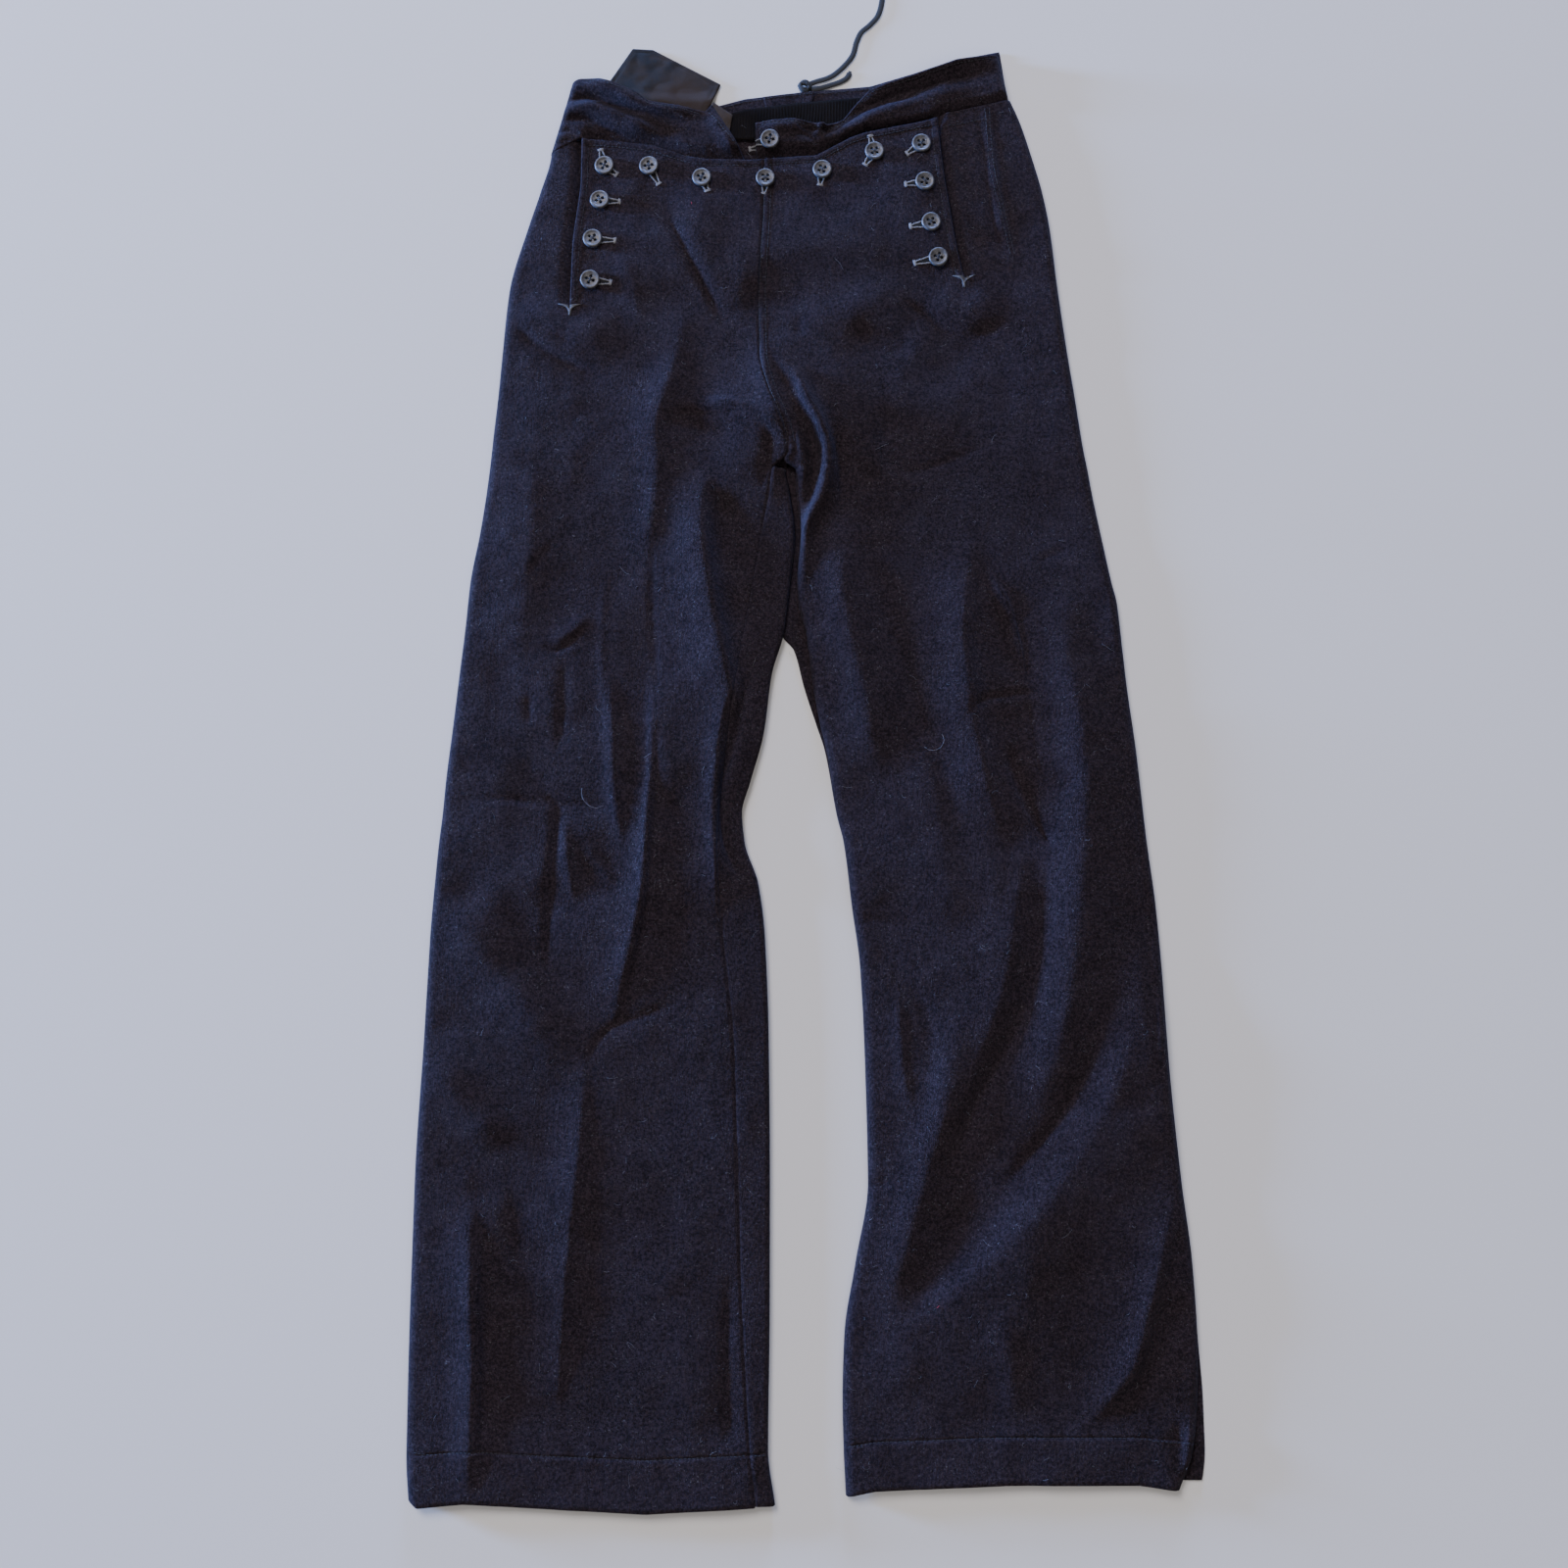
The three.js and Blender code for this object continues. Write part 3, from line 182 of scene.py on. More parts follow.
# Folds: height over the cloth, width on the left and right of the path, and how sharp the top is,
# from 1 for a crease to 2 for a soft roll.
Fold = namedtuple("Fold", "height left right sharp path")
FOLDS = [
    # Right thigh and knee
    Fold(5.0, 46, 46, 2.0, [(-60, 760), (20, 790), (80, 800)]),
    Fold(3.6, 8, 13, 1.5, [(-76, 872), (-86, 825), (-98, 782), (-97, 745), (-101, 700), (-102, 655)]),
    Fold(9.0, 6, 24, 1.6, [
        (-60, 742), (-62, 700), (-57, 660), (-51, 625), (-44, 592), (-39, 565), (-40, 548),
    ]),
    Fold(-2.6, 16, 10, 1.6, [(-42, 735), (-44, 690), (-36, 640), (-32, 600)]),
    Fold(-2.2, 9, 9, 1.6, [(-50, 728), (-44, 695), (-38, 655)]),
    Fold(3.0, 36, 3, 1.6, [(-98, 600), (-98, 540), (-99, 480), (-102, 430), (-110, 385)]),
    Fold(4.6, 3.5, 9, 1.4, [(-38, 580), (-47, 545), (-50, 510), (-51, 470), (-50, 440), (-49, 400)]),
    Fold(5.0, 6, 10, 1.5, [
        (-8, 600), (-14, 570), (-20, 540), (-28, 515), (-34, 490), (-36, 470), (-31, 452),
    ]),
    Fold(-6.0, 4, 3, 1.2, [
        (-20, 605), (-29, 570), (-35, 542), (-43, 515), (-47, 490), (-45, 462), (-37, 440), (-24, 426),
    ]),
    Fold(2.8, 15, 30, 1.8, [(-196, 770), (-194, 710), (-196, 650), (-203, 590)]),
    Fold(-2.0, 2.2, 1.8, 1.1, [(-181, 605), (-168, 603), (-158, 610), (-146, 623)]),
    Fold(1.6, 6, 7, 1.5, [(-178, 612), (-162, 614), (-146, 630)]),
    Fold(-1.2, 2.5, 3.5, 1.1, [(-100, 700), (-99, 640), (-96, 590), (-96, 545)]),
    Fold(0.7, 3, 2, 1.2, [(-133, 668), (-137, 630), (-137, 600), (-134, 565), (-132, 535)]),
    Fold(-1.8, 3, 3, 1.1, [(-165, 594), (-165, 560), (-167, 525)]),
    Fold(-1.0, 2.5, 2.5, 1.1, [(-194, 658), (-184, 674), (-174, 686)]),
    Fold(-1.5, 4, 5, 1.3, [(-191, 568), (-189, 545)]),
    Fold(-1.6, 2.5, 2.0, 1.1, [(-246, 489), (-205, 490), (-165, 487), (-130, 485), (-97, 487)]),
    Fold(-2.9, 5, 2.2, 1.1, [
        (-192, 507), (-180, 497), (-169, 486), (-168, 470), (-170, 445), (-172, 415), (-173, 390),
        (-172, 360),
    ]),
    Fold(2.2, 4, 5, 1.4, [(-163, 480), (-159, 450), (-153, 412)]),
    Fold(3.0, 4, 6, 1.5, [(-131, 585), (-127, 545), (-126, 510), (-122, 475), (-119, 450)]),
    Fold(2.0, 4, 5, 1.4, [(-148, 456), (-135, 440), (-124, 426)]),
    Fold(5.2, 3, 13, 1.3, [
        (-98, 520), (-100, 480), (-102, 450), (-104, 420), (-110, 383), (-118, 348), (-123, 322),
    ]),
    Fold(-2.2, 3, 3, 1.2, [
        (-95, 560), (-95, 500), (-97, 460), (-99, 425), (-105, 385), (-114, 350), (-119, 328),
    ]),
    # Right shin
    Fold(2.8, 2.4, 12, 1.3, [(-143, 300), (-144, 250), (-148, 200), (-152, 150), (-155, 100), (-158, 50)]),
    Fold(-2.0, 3, 3, 1.1, [(-76, 343), (-100, 333), (-120, 326), (-134, 314), (-141, 298)]),
    Fold(4.5, 18, 20, 1.8, [(-247, 418), (-228, 390), (-206, 360), (-186, 338), (-166, 318), (-148, 300)]),
    Fold(-0.8, 10, 10, 1.7, [(-215, 430), (-190, 395), (-165, 360), (-145, 338)]),
    Fold(3.5, 12, 18, 1.7, [(-258, 300), (-235, 276), (-214, 256), (-202, 238)]),
    Fold(-1.8, 14, 7, 1.6, [(-196, 228), (-192, 205), (-187, 170), (-181, 130), (-172, 85)]),
    Fold(5.8, 2.6, 12, 1.4, [(-222, 205), (-219, 165), (-216, 110), (-215, 55), (-217, 5)]),
    Fold(-2.4, 4, 3, 1.2, [(-212, 180), (-209, 120), (-207, 60), (-209, 8)]),
    Fold(-1.8, 4, 3, 1.2, [(-39, 152), (-40, 100), (-38, 45), (-36, 5)]),
    Fold(-1.4, 5, 4, 1.4, [(-141, 182), (-134, 160)]),
    # Hips and fall
    Fold(-3.0, 3, 6, 1.2, [(-212, 864), (-190, 844), (-166, 830), (-136, 814)]),
    Fold(-1.6, 2.5, 4, 1.2, [(-196, 868), (-176, 852), (-156, 842)]),
    Fold(3.0, 16, 18, 1.9, [(-205, 880), (-180, 862), (-150, 850), (-125, 835)]),
    Fold(-2.6, 8, 10, 1.5, [(-95, 783), (-62, 778), (-32, 772)]),
    Fold(3.5, 8, 9, 1.6, [(-64, 800), (-36, 797), (-14, 786), (-8, 766)]),
    Fold(-2.0, 3, 4, 1.2, [(-64, 804), (-42, 801), (-18, 793)]),
    Fold(-2.0, 3, 4, 1.1, [(-88, 789), (-50, 790), (-22, 786)]),
    Fold(1.4, 4, 4, 1.5, [(-60, 797), (-40, 795), (-22, 790)]),
    Fold(-2.8, 4, 5, 1.1, [(-21, 784), (-10, 766), (-17, 728)]),
    Fold(-3.6, 9, 2.6, 1.1, [(-124, 958), (-104, 957), (-93, 951), (-76, 918), (-60, 888), (-46, 858)]),
    Fold(3.4, 20, 9, 1.7, [(-92, 968), (-78, 940), (-62, 908), (-44, 868)]),
    Fold(1.4, 9, 10, 1.7, [(-40, 930), (-32, 900), (-36, 860)]),
    Fold(1.5, 9, 9, 1.7, [(-128, 920), (-118, 890), (-112, 860)]),
    Fold(-3.6, 4, 3, 1.2, [(90, 883), (112, 866), (128, 853), (143, 848), (160, 856), (174, 867)]),
    Fold(2.4, 18, 17, 1.9, [(108, 880), (140, 872), (172, 884)]),
    Fold(2.6, 28, 16, 1.9, [(104, 898), (61, 876), (23, 860), (0, 836)]),
    Fold(-2.2, 12, 11, 1.7, [(48, 856), (80, 848), (102, 838)]),
    Fold(-1.6, 5, 5, 1.2, [(10, 870), (13, 849)]),
    Fold(-1.3, 6, 6, 1.3, [(50, 855), (99, 840)]),
    Fold(2.2, 12, 55, 2.0, [(115, 1012), (115, 960), (119, 905)]),
    Fold(1.6, 3.0, 3.0, 2.4, [
        (158, 1048), (160.5, 1025), (162.5, 1009), (164.6, 988), (166.8, 964), (171.7, 937), (180, 905),
    ]),
    Fold(-2.2, 1.8, 1.8, 1.3, [(153, 1040), (157, 1009), (159, 988), (161, 964), (166, 937), (174, 911)]),
    Fold(-2.2, 1.8, 1.8, 1.3, [
        (165, 1040), (168.4, 1009), (170.4, 988), (172.5, 964), (177.5, 937), (185, 911),
    ]),
    # Crotch: a standing ridge, a recess beside it and its shadowed valley
    Fold(10.5, 6, 4, 1.3, [
        (-8, 838), (-2, 826), (9, 817), (16, 800), (26, 780), (33, 762), (32, 742), (28, 724), (22, 711),
        (17, 699),
        (14, 684), (12, 664), (13, 640),
    ]),
    Fold(-4.0, 7, 5, 1.3, [(30, 786), (40, 760), (44, 735), (44, 712), (38, 690)]),
    Fold(-5.0, 7, 6, 1.5, [(8, 792), (19, 776), (23, 755), (23, 735), (18, 712), (13, 700)]),
    Fold(3.5, 7, 9, 1.5, [(-16, 850), (-14, 820), (-8, 795), (-1, 772), (1, 758)]),
    Fold(3.2, 2.5, 3, 1.2, [(9, 778), (14, 757), (16, 735)]),
    # Left thigh and knee
    Fold(7.0, 20, 18, 1.7, [(34, 705), (40, 665), (47, 625), (55, 585), (62, 548), (72, 505)]),
    Fold(-2.0, 12, 12, 1.6, [(66, 690), (76, 640), (90, 590), (108, 540), (126, 480), (140, 445)]),
    Fold(6.5, 9, 24, 1.6, [
        (142, 695), (137, 650), (134, 615), (137, 580), (140, 550), (147, 515), (155, 480), (160, 450),
    ]),
    Fold(3.0, 2.2, 6, 1.2, [(153, 668), (163, 648), (171, 630), (176, 608), (182, 584)]),
    Fold(-2.0, 3, 2.5, 1.1, [(170, 640), (177, 610), (182, 585), (184, 572)]),
    Fold(-2.0, 8, 8, 1.6, [(160, 640), (166, 605), (164, 580)]),
    Fold(-2.2, 2.0, 2.4, 1.1, [(136, 548), (142, 560), (152, 566), (172, 569), (191, 570)]),
    Fold(-1.6, 2.5, 2.5, 1.1, [(181, 568), (184, 545), (187, 520), (195, 495)]),
    Fold(7.5, 26, 20, 1.6, [
        (212, 668), (210, 630), (211, 595), (216, 560), (221, 530), (221, 500), (219, 470), (217, 440),
        (214, 410), (210, 380), (205, 350), (198, 318), (188, 288), (174, 260), (156, 236),
    ]),
    Fold(-1.4, 2.5, 2.5, 1.1, [(197, 512), (205, 497), (215, 508)]),
    Fold(-7.0, 3.4, 2.6, 1.1, [(166, 532), (170, 510), (178, 490), (187, 470), (199, 451)]),
    Fold(-3.4, 6, 7, 1.4, [
        (194, 445), (188, 405), (183, 370), (176, 340), (163, 312), (148, 288), (134, 262), (120, 232),
        (108, 200),
    ]),
    Fold(1.6, 12, 34, 1.7, [(100, 545), (110, 495), (115, 450), (118, 410), (120, 370)]),
    Fold(-1.4, 8, 6, 1.5, [(66, 357), (88, 352), (101, 338), (104, 315), (104, 285), (98, 258)]),
    Fold(4.2, 9, 45, 1.8, [
        (176, 455), (168, 410), (161, 368), (151, 332), (136, 298), (121, 262), (110, 225),
    ]),
    Fold(1.8, 3, 6, 1.4, [(82, 350), (84, 320), (86, 290), (92, 262)]),
    Fold(-0.8, 2.5, 3, 1.2, [(48, 399), (70, 401), (90, 396)]),
    Fold(-1.6, 3, 2.5, 1.2, [(256, 520), (261, 460), (264, 400), (266, 340), (267, 280)]),
    Fold(-1.2, 2.5, 2.5, 1.1, [(85, 741), (110, 745), (135, 755), (162, 766)]),
    Fold(-1.2, 3, 3, 1.2, [(191, 670), (203, 677), (216, 681)]),
    Fold(1.6, 8, 12, 1.7, [(72, 810), (66, 770), (70, 730)]),
    Fold(-1.2, 6, 6, 1.5, [(78, 800), (78, 765), (84, 735)]),
    # Left shin
    Fold(7.0, 62, 19, 1.7, [
        (264, 402), (262, 365), (257, 335), (249, 308), (239, 282), (226, 256), (208, 228), (186, 200),
        (160, 172),
        (134, 148), (108, 126), (80, 104), (52, 84),
    ]),
    Fold(-3.0, 5, 5, 1.3, [
        (233, 345), (226, 315), (214, 288), (202, 268), (186, 246), (168, 226), (150, 204),
    ]),
    Fold(4.5, 14, 14, 1.7, [
        (121, 330), (118, 300), (111, 255), (102, 225), (93, 195), (84, 165), (75, 135), (68, 112),
    ]),
    Fold(-2.6, 12, 10, 1.7, [(136, 210), (118, 178), (100, 146), (84, 122)]),
    Fold(-2.4, 2.5, 3, 1.1, [(58, 214), (76, 214)]),
    Fold(5.5, 4, 13, 1.4, [
        (277, 205), (271, 180), (264, 155), (256, 128), (249, 103), (242, 86), (228, 70), (211, 53),
    ]),
    Fold(-3.0, 8, 8, 1.5, [(280, 140), (266, 104), (252, 78), (234, 56)]),
    Fold(1.5, 10, 10, 1.7, [(150, 130), (158, 90), (156, 50)]),
    Fold(2.6, 5, 5, 1.4, [(281, 60), (280, 10)]),
    Fold(-3.0, 3.5, 3.5, 1.1, [(274, 56), (272, 6)]),
]

BAND_FOLDS = [
    Fold(-6.0, 2.4, 3.4, 1.1, [
        (-184, 1029), (-170, 1032.7), (-161, 1033.8), (-151, 1031), (-137, 1023.7), (-116, 1012),
    ]),
    Fold(-4.2, 3.6, 4.5, 1.2, [(-178, 1040), (-165, 1050), (-148, 1050), (-135, 1045), (-77, 1030)]),
    Fold(-4.0, 2.4, 3.0, 1.1, [(-184, 1021), (-171, 1023), (-156, 1018)]),
    Fold(5.0, 5.5, 5.5, 1.7, [(-176, 1036), (-155, 1042), (-130, 1034), (-95, 1018)]),
    Fold(6.0, 6.0, 6.0, 1.8, [(-168, 1059), (-140, 1059), (-110, 1042), (-64, 1036)]),
    Fold(-7.5, 2.8, 4.4, 1.1, [
        (8, 1027), (24, 1024), (36, 1025), (52, 1035), (67, 1043.5), (95, 1054), (124, 1064),
    ]),
    Fold(-2.4, 2.6, 4.0, 1.2, [(104, 1058), (130, 1066), (158, 1072)]),
    Fold(5.0, 7.0, 6.0, 1.8, [(60, 1051), (92, 1066), (140, 1082), (170, 1086)]),
    Fold(3.0, 7.0, 7.0, 1.8, [(40, 1018), (70, 1036), (110, 1050), (160, 1060)]),
    Fold(5.0, 3.6, 4.0, 1.3, [(36, 1044), (34, 1034), (30, 1026), (22, 1016)]),
    Fold(3.0, 6.0, 6.0, 1.7, [(-20, 1024), (6, 1026), (24, 1024)]),
    Fold(4.0, 6.0, 6.0, 1.7, [(-60, 1038), (-44, 1014), (-32, 1000)]),
    # Finer puckers
    Fold(-1.8, 2.5, 3.0, 1.1, [(-4, 1021), (14, 1020), (30, 1012)]),
    Fold(-1.6, 2.5, 3.0, 1.1, [(8, 1027), (30, 1022)]),
    Fold(1.4, 3.0, 3.0, 1.5, [(40, 1014), (52, 1024)]),
    Fold(-1.2, 3.0, 3.0, 1.2, [(-110, 1030), (-86, 1022)]),
    Fold(-1.2, 3.0, 3.0, 1.2, [(84, 1048), (112, 1053)]),
]

TOP_ROW = [(-141, 992), (-106, 991.5), (-64.5, 981.5), (-14.6, 981.5), (30, 988), (71, 1003), (108, 1010)]
RIGHT_ROW = [(-144, 962.5), (-149, 930), (-150.5, 896.5)]
LEFT_ROW = [(110, 977), (114.5, 943), (120, 915)]

# Loose lace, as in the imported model
LACE_WIDTH = 4.2
LACE_THICK = 1.2
LACE_Z = 0.75
LACE_PATH = [
    (21.2, 1068.2), (27, 1070.4), (34, 1072.6), (40.7, 1076.5), (48.5, 1084), (55, 1093), (58, 1104),
    (62, 1113), (69, 1119.5), (75.6, 1128), (78.8, 1140), (79.5, 1152), (83, 1163),
]
LACE_END_PATH = [(21.2, 1063), (30, 1064.6), (38, 1067.2), (45, 1069.8), (50.5, 1073.6), (53, 1079)]
KNOT = (16.5, 1065.0)


# Plain functions

def mix(a, b, t):
    return a + (b - a) * t


def ease(low, high, value):
    t = np.clip((value - low) / (high - low), 0.0, 1.0)
    return t * t * (3 - 2 * t)


def through(places, values):
    """A smooth curve through the values at rising places, with no overshoot, as a function."""
    x = np.array(places, float)
    y = np.array(values, float)
    step = np.diff(x)
    slope = np.diff(y) / step
    inner = np.where(slope[:-1] * slope[1:] > 0, 2 * slope[:-1] * slope[1:], 0.0)
    inner = inner / np.where(inner == 0, 1.0, slope[:-1] + slope[1:])
    tangent = np.concatenate([[slope[0]], inner, [slope[-1]]])

    def value(at):
        at = np.clip(np.asarray(at, float), x[0], x[-1])
        i = np.clip(np.searchsorted(x, at) - 1, 0, len(step) - 1)
        t = (at - x[i]) / step[i]
        start = y[i] * (2 * t**3 - 3 * t**2 + 1) + tangent[i] * step[i] * (t**3 - 2 * t**2 + t)
        end = y[i + 1] * (3 * t**2 - 2 * t**3) + tangent[i + 1] * step[i] * (t**3 - t**2)
        return start + end

    return value


def column(table, name):
    return through([row.y for row in table], [getattr(row, name) for row in table])


def edge(places):
    """Straight lines between (x, y) places, as y for an x."""
    x, y = np.array(places, float).T
    return lambda at: np.interp(at, x, y)


def edge_x(places):
    """A smooth line through (x, y) places, as x for a y."""
    return through([y for x, y in places], [x for x, y in places])


CURVE_STEPS = 24
LENGTH_STEPS = 200


def curve_points(path, count):
    """Points evenly spaced on a smooth curve through a path's places."""
    places = np.array(path, float)
    ends = np.vstack([2 * places[0] - places[1], places, 2 * places[-1] - places[-2]])
    dense = []
    for i in range(1, len(ends) - 2):
        t = np.linspace(0, 1, CURVE_STEPS, endpoint=False)[:, None]
        a, b, c, d = ends[i - 1 : i + 3]
        dense.append(0.5 * (2 * b + (c - a) * t + (2 * a - 5 * b + 4 * c - d) * t**2
                            + (3 * b - a - 3 * c + d) * t**3))
    dense = np.vstack(dense + [ends[-2]])
    run = np.concatenate([[0], np.cumsum(np.linalg.norm(np.diff(dense, axis=0), axis=1))])
    wanted = np.linspace(0, run[-1], count)
    return np.column_stack([np.interp(wanted, run, dense[:, k]) for k in range(dense.shape[1])])


def path_length(path):
    points = curve_points(path, LENGTH_STEPS)
    return float(np.linalg.norm(np.diff(points, axis=0), axis=1).sum())


# A fold is measured against this many straight pieces of its path, out to so many widths, and it
# fades at its ends between these shares of its length.
FOLD_PIECES = 24
FOLD_REACH = 3.2
FADE_START = -0.05
FADE_END = 0.3


def fold_height(folds, x, y):
    """Height that folds add at places x, y."""
    total = np.zeros_like(x)
    for fold in folds:
        line = curve_points(fold.path, FOLD_PIECES + 1)
        reach = FOLD_REACH * max(fold.left, fold.right)
        low = line.min(0) - reach
        high = line.max(0) + reach
        near = (x > low[0]) & (x < high[0]) & (y > low[1]) & (y < high[1])
        if not near.any():
            continue
        px, py = x[near], y[near]
        best = np.full(px.shape, np.inf)
        side = np.zeros(px.shape)
        along = np.zeros(px.shape)
        for i in range(FOLD_PIECES):
            (ax, ay), (bx, by) = line[i], line[i + 1]
            dx, dy = bx - ax, by - ay
            t = np.clip(((px - ax) * dx + (py - ay) * dy) / (dx * dx + dy * dy), 0, 1)
            ox, oy = px - ax - dx * t, py - ay - dy * t
            distance = np.hypot(ox, oy)
            closer = distance < best
            best = np.where(closer, distance, best)
            side = np.where(closer, dx * oy - dy * ox, side)
            along = np.where(closer, (i + t) / FOLD_PIECES, along)
        width = np.where(side > 0, fold.left, fold.right)
        fade = ease(FADE_START, FADE_END, along) * ease(FADE_START, FADE_END, 1 - along)
        total[near] += fold.height * fade * np.exp(-((best / width) ** fold.sharp))
    return total


LATTICE = 64
LATTICE_SHIFT = 1000.0


def rumple(x, y, size, seed):
    """Smooth random height, about 1 high, with bumps of the given size."""
    lattice = np.random.default_rng(seed).standard_normal((LATTICE, LATTICE))
    grid_x = x / size + LATTICE_SHIFT
    grid_y = y / size + LATTICE_SHIFT
    column_x, row_y = np.floor(grid_x).astype(int), np.floor(grid_y).astype(int)
    part_x, part_y = grid_x - column_x, grid_y - row_y
    part_x = part_x * part_x * (3 - 2 * part_x)
    part_y = part_y * part_y * (3 - 2 * part_y)
    corner = lambda i, j: lattice[(column_x + i) % LATTICE, (row_y + j) % LATTICE]
    low = mix(corner(0, 0), corner(1, 0), part_x)
    high = mix(corner(0, 1), corner(1, 1), part_x)
    return mix(low, high, part_y)


def unevenness(x, y, sets):
    """Sum of rumples, each with its height, the size of its bumps, and its seed."""
    total = 0.0
    for height, size, seed in sets:
        total = total + height * rumple(x, y, size, seed)
    return total


# Edges of the pieces

right_outer = column(RIGHT_LEG, "outer")
right_seam = column(RIGHT_LEG, "seam")
right_inner = column(RIGHT_LEG, "inner")
left_leg_inner = column(LEFT_LEG, "inner")
left_back_inner = column(LEFT_LEG, "back_inner")
left_outer = column(LEFT_LEG, "outer")
left_back_outer = column(LEFT_LEG, "back_outer")
right_slit = edge_x(RIGHT_SLIT)
left_slit = edge_x(LEFT_SLIT)
right_hem = edge(RIGHT_HEM)
left_hem = edge(LEFT_HEM)
right_top = edge(RIGHT_TOP)
left_top = edge(LEFT_TOP)
back_top = edge(BACK_TOP)
right_band_top = edge(RIGHT_BAND_TOP)
left_band_top = edge(LEFT_BAND_TOP)
back_band_top = edge(BACK_BAND_TOP)


# The left front comes over to the seam from just below the head of the inseam
MEET_LOW = 1
MEET_HIGH = 9


def left_inner(y):
    """Inner edge of the left front, which meets the right front above the head of the inseam."""
    meeting = ease(INSEAM_TOP - MEET_LOW, INSEAM_TOP + MEET_HIGH, y)
    return mix(left_leg_inner(y), right_seam(y) + SEAM_GAP, meeting)


def front_z(x, y):
    """Middle of the cloth on the front of the trousers."""
    above_hem = ease(HEM_DEPTH, HEM_DEPTH + HEM_EASE, y)
    leg = mix(HEM_Z, LEG_Z, above_hem)
    base = mix(leg, FALL_Z, ease(FALL_START - FALL_EASE_LOW, FALL_START + FALL_EASE_HIGH, y))
    least_leg = mix(HEM_Z - HEM_SAG, LEAST_Z, above_hem)
    least_body = mix(LEAST_Z, LEAST_FALL_Z, ease(FALL_START - FALL_EASE_LOW, FALL_START, y))
    z = base + fold_height(FOLDS, x, y) + unevenness(x, y, LEG_UNEVEN)
    return np.maximum(z, np.maximum(least_leg, least_body) + unevenness(x, y, LEAST_UNEVEN))


def rolled(z, distance):
    """Height where the cloth turns down at a side, at a distance in from the outline."""
    t = np.clip((distance - HALF) / ROLL, 0, 1)
    return mix(RIM_Z, z, np.sqrt(1 - (1 - t) ** 2))


# Meshes

def to_frame(points):
    return np.asarray(points, float) * MM + SHIFT


def new_object(name, vertices, faces, material, smooth=True):
    """An object from points in the frame, in metres."""
    mesh = bpy.data.meshes.new(name)
    mesh.from_pydata(np.asarray(vertices).tolist(), [], [list(map(int, f)) for f in faces])
    mesh.update()
    if smooth:
        mesh.polygons.foreach_set("use_smooth", [True] * len(mesh.polygons))
    for each in material if isinstance(material, list) else [material]:
        mesh.materials.append(each)
    piece = bpy.data.objects.new(name, mesh)
    bpy.context.scene.collection.objects.link(piece)
    return piece


# How far a cut edge bulges, as a share of the cloth's thickness
EDGE_BULGE = 0.35
LEAST_LENGTH = 1e-9


def shell(grid, kept, half):
    """Vertices and faces of a closed wall on a grid of middle points, half its thickness to each
    side. kept says which cells are cloth, and the edges are rounded."""
    rows, columns = grid.shape[:2]
    across = grid[1:, 1:] - grid[:-1, :-1]
    back = grid[1:, :-1] - grid[:-1, 1:]
    facing = np.cross(across, back) * kept[..., None]
    normals = np.zeros_like(grid)
    for i in (0, 1):
        for j in (0, 1):
            normals[i : rows - 1 + i, j : columns - 1 + j] += facing
    length = np.linalg.norm(normals, axis=2, keepdims=True)
    normals = normals / np.where(length == 0, 1, length)
    used = length[..., 0] > 0
    number = np.full((rows, columns), -1)
    number[used] = np.arange(used.sum())
    count = int(used.sum())
    middle = grid[used]
    vertices = [
        middle + normals[used] * half,
        middle - normals[used] * half,
    ]
    cells = np.argwhere(kept)
    i, j = cells.T
    a, b, c, d = number[i, j], number[i, j + 1], number[i + 1, j + 1], number[i + 1, j]
    faces = [np.column_stack([a, b, c, d]), np.column_stack([a, d, c, b]) + [count] * 4]
    # Edge sides of kept cells with no kept neighbour, as pairs of grid places
    padded = np.pad(kept, 1)
    sides = []
    for di, dj, first, second in ((-1, 0, (0, 0), (0, 1)), (0, 1, (0, 1), (1, 1)),
                                  (1, 0, (1, 1), (1, 0)), (0, -1, (1, 0), (0, 0))):
        bare = ~padded[i + 1 + di, j + 1 + dj]
        sides.append(np.column_stack([i[bare] + first[0], j[bare] + first[1],
                                      i[bare] + second[0], j[bare] + second[1]]))
    sides = np.vstack(sides)
    first = number[sides[:, 0], sides[:, 1]]
    second = number[sides[:, 2], sides[:, 3]]
    # Outward direction at each edge point, for the rounding
    run = middle[second] - middle[first]
    flat_normals = normals[used]
    outward = np.cross(run, flat_normals[first] + flat_normals[second])
    outward /= np.maximum(np.linalg.norm(outward, axis=1, keepdims=True), LEAST_LENGTH)
    push = np.zeros_like(middle)
    np.add.at(push, first, outward)
    np.add.at(push, second, outward)
    rim = np.unique(np.concatenate([first, second]))
    push = push[rim] / np.maximum(np.linalg.norm(push[rim], axis=1, keepdims=True), LEAST_LENGTH)
    vertices.append(middle[rim] + push * EDGE_BULGE * 2 * half)
    rim_number = np.full(count, -1)
    rim_number[rim] = 2 * count + np.arange(len(rim))
    p, q = rim_number[first], rim_number[second]
    faces.append(np.column_stack([first, p, q, second]))
    faces.append(np.column_stack([p, first + count, second + count, q]))
    return np.vstack(vertices), np.vstack(faces)


def cloth_piece(name, grid, material, kept, half):
    """A cloth wall as an object, from its middle points and half its thickness in millimetres."""
    if kept is None:
        kept = np.ones((grid.shape[0] - 1, grid.shape[1] - 1), bool)
    vertices, faces = shell(grid, kept, half)
    return new_object(name, to_frame(vertices), faces, material)


# Rows of the panels, from the hem to the waist

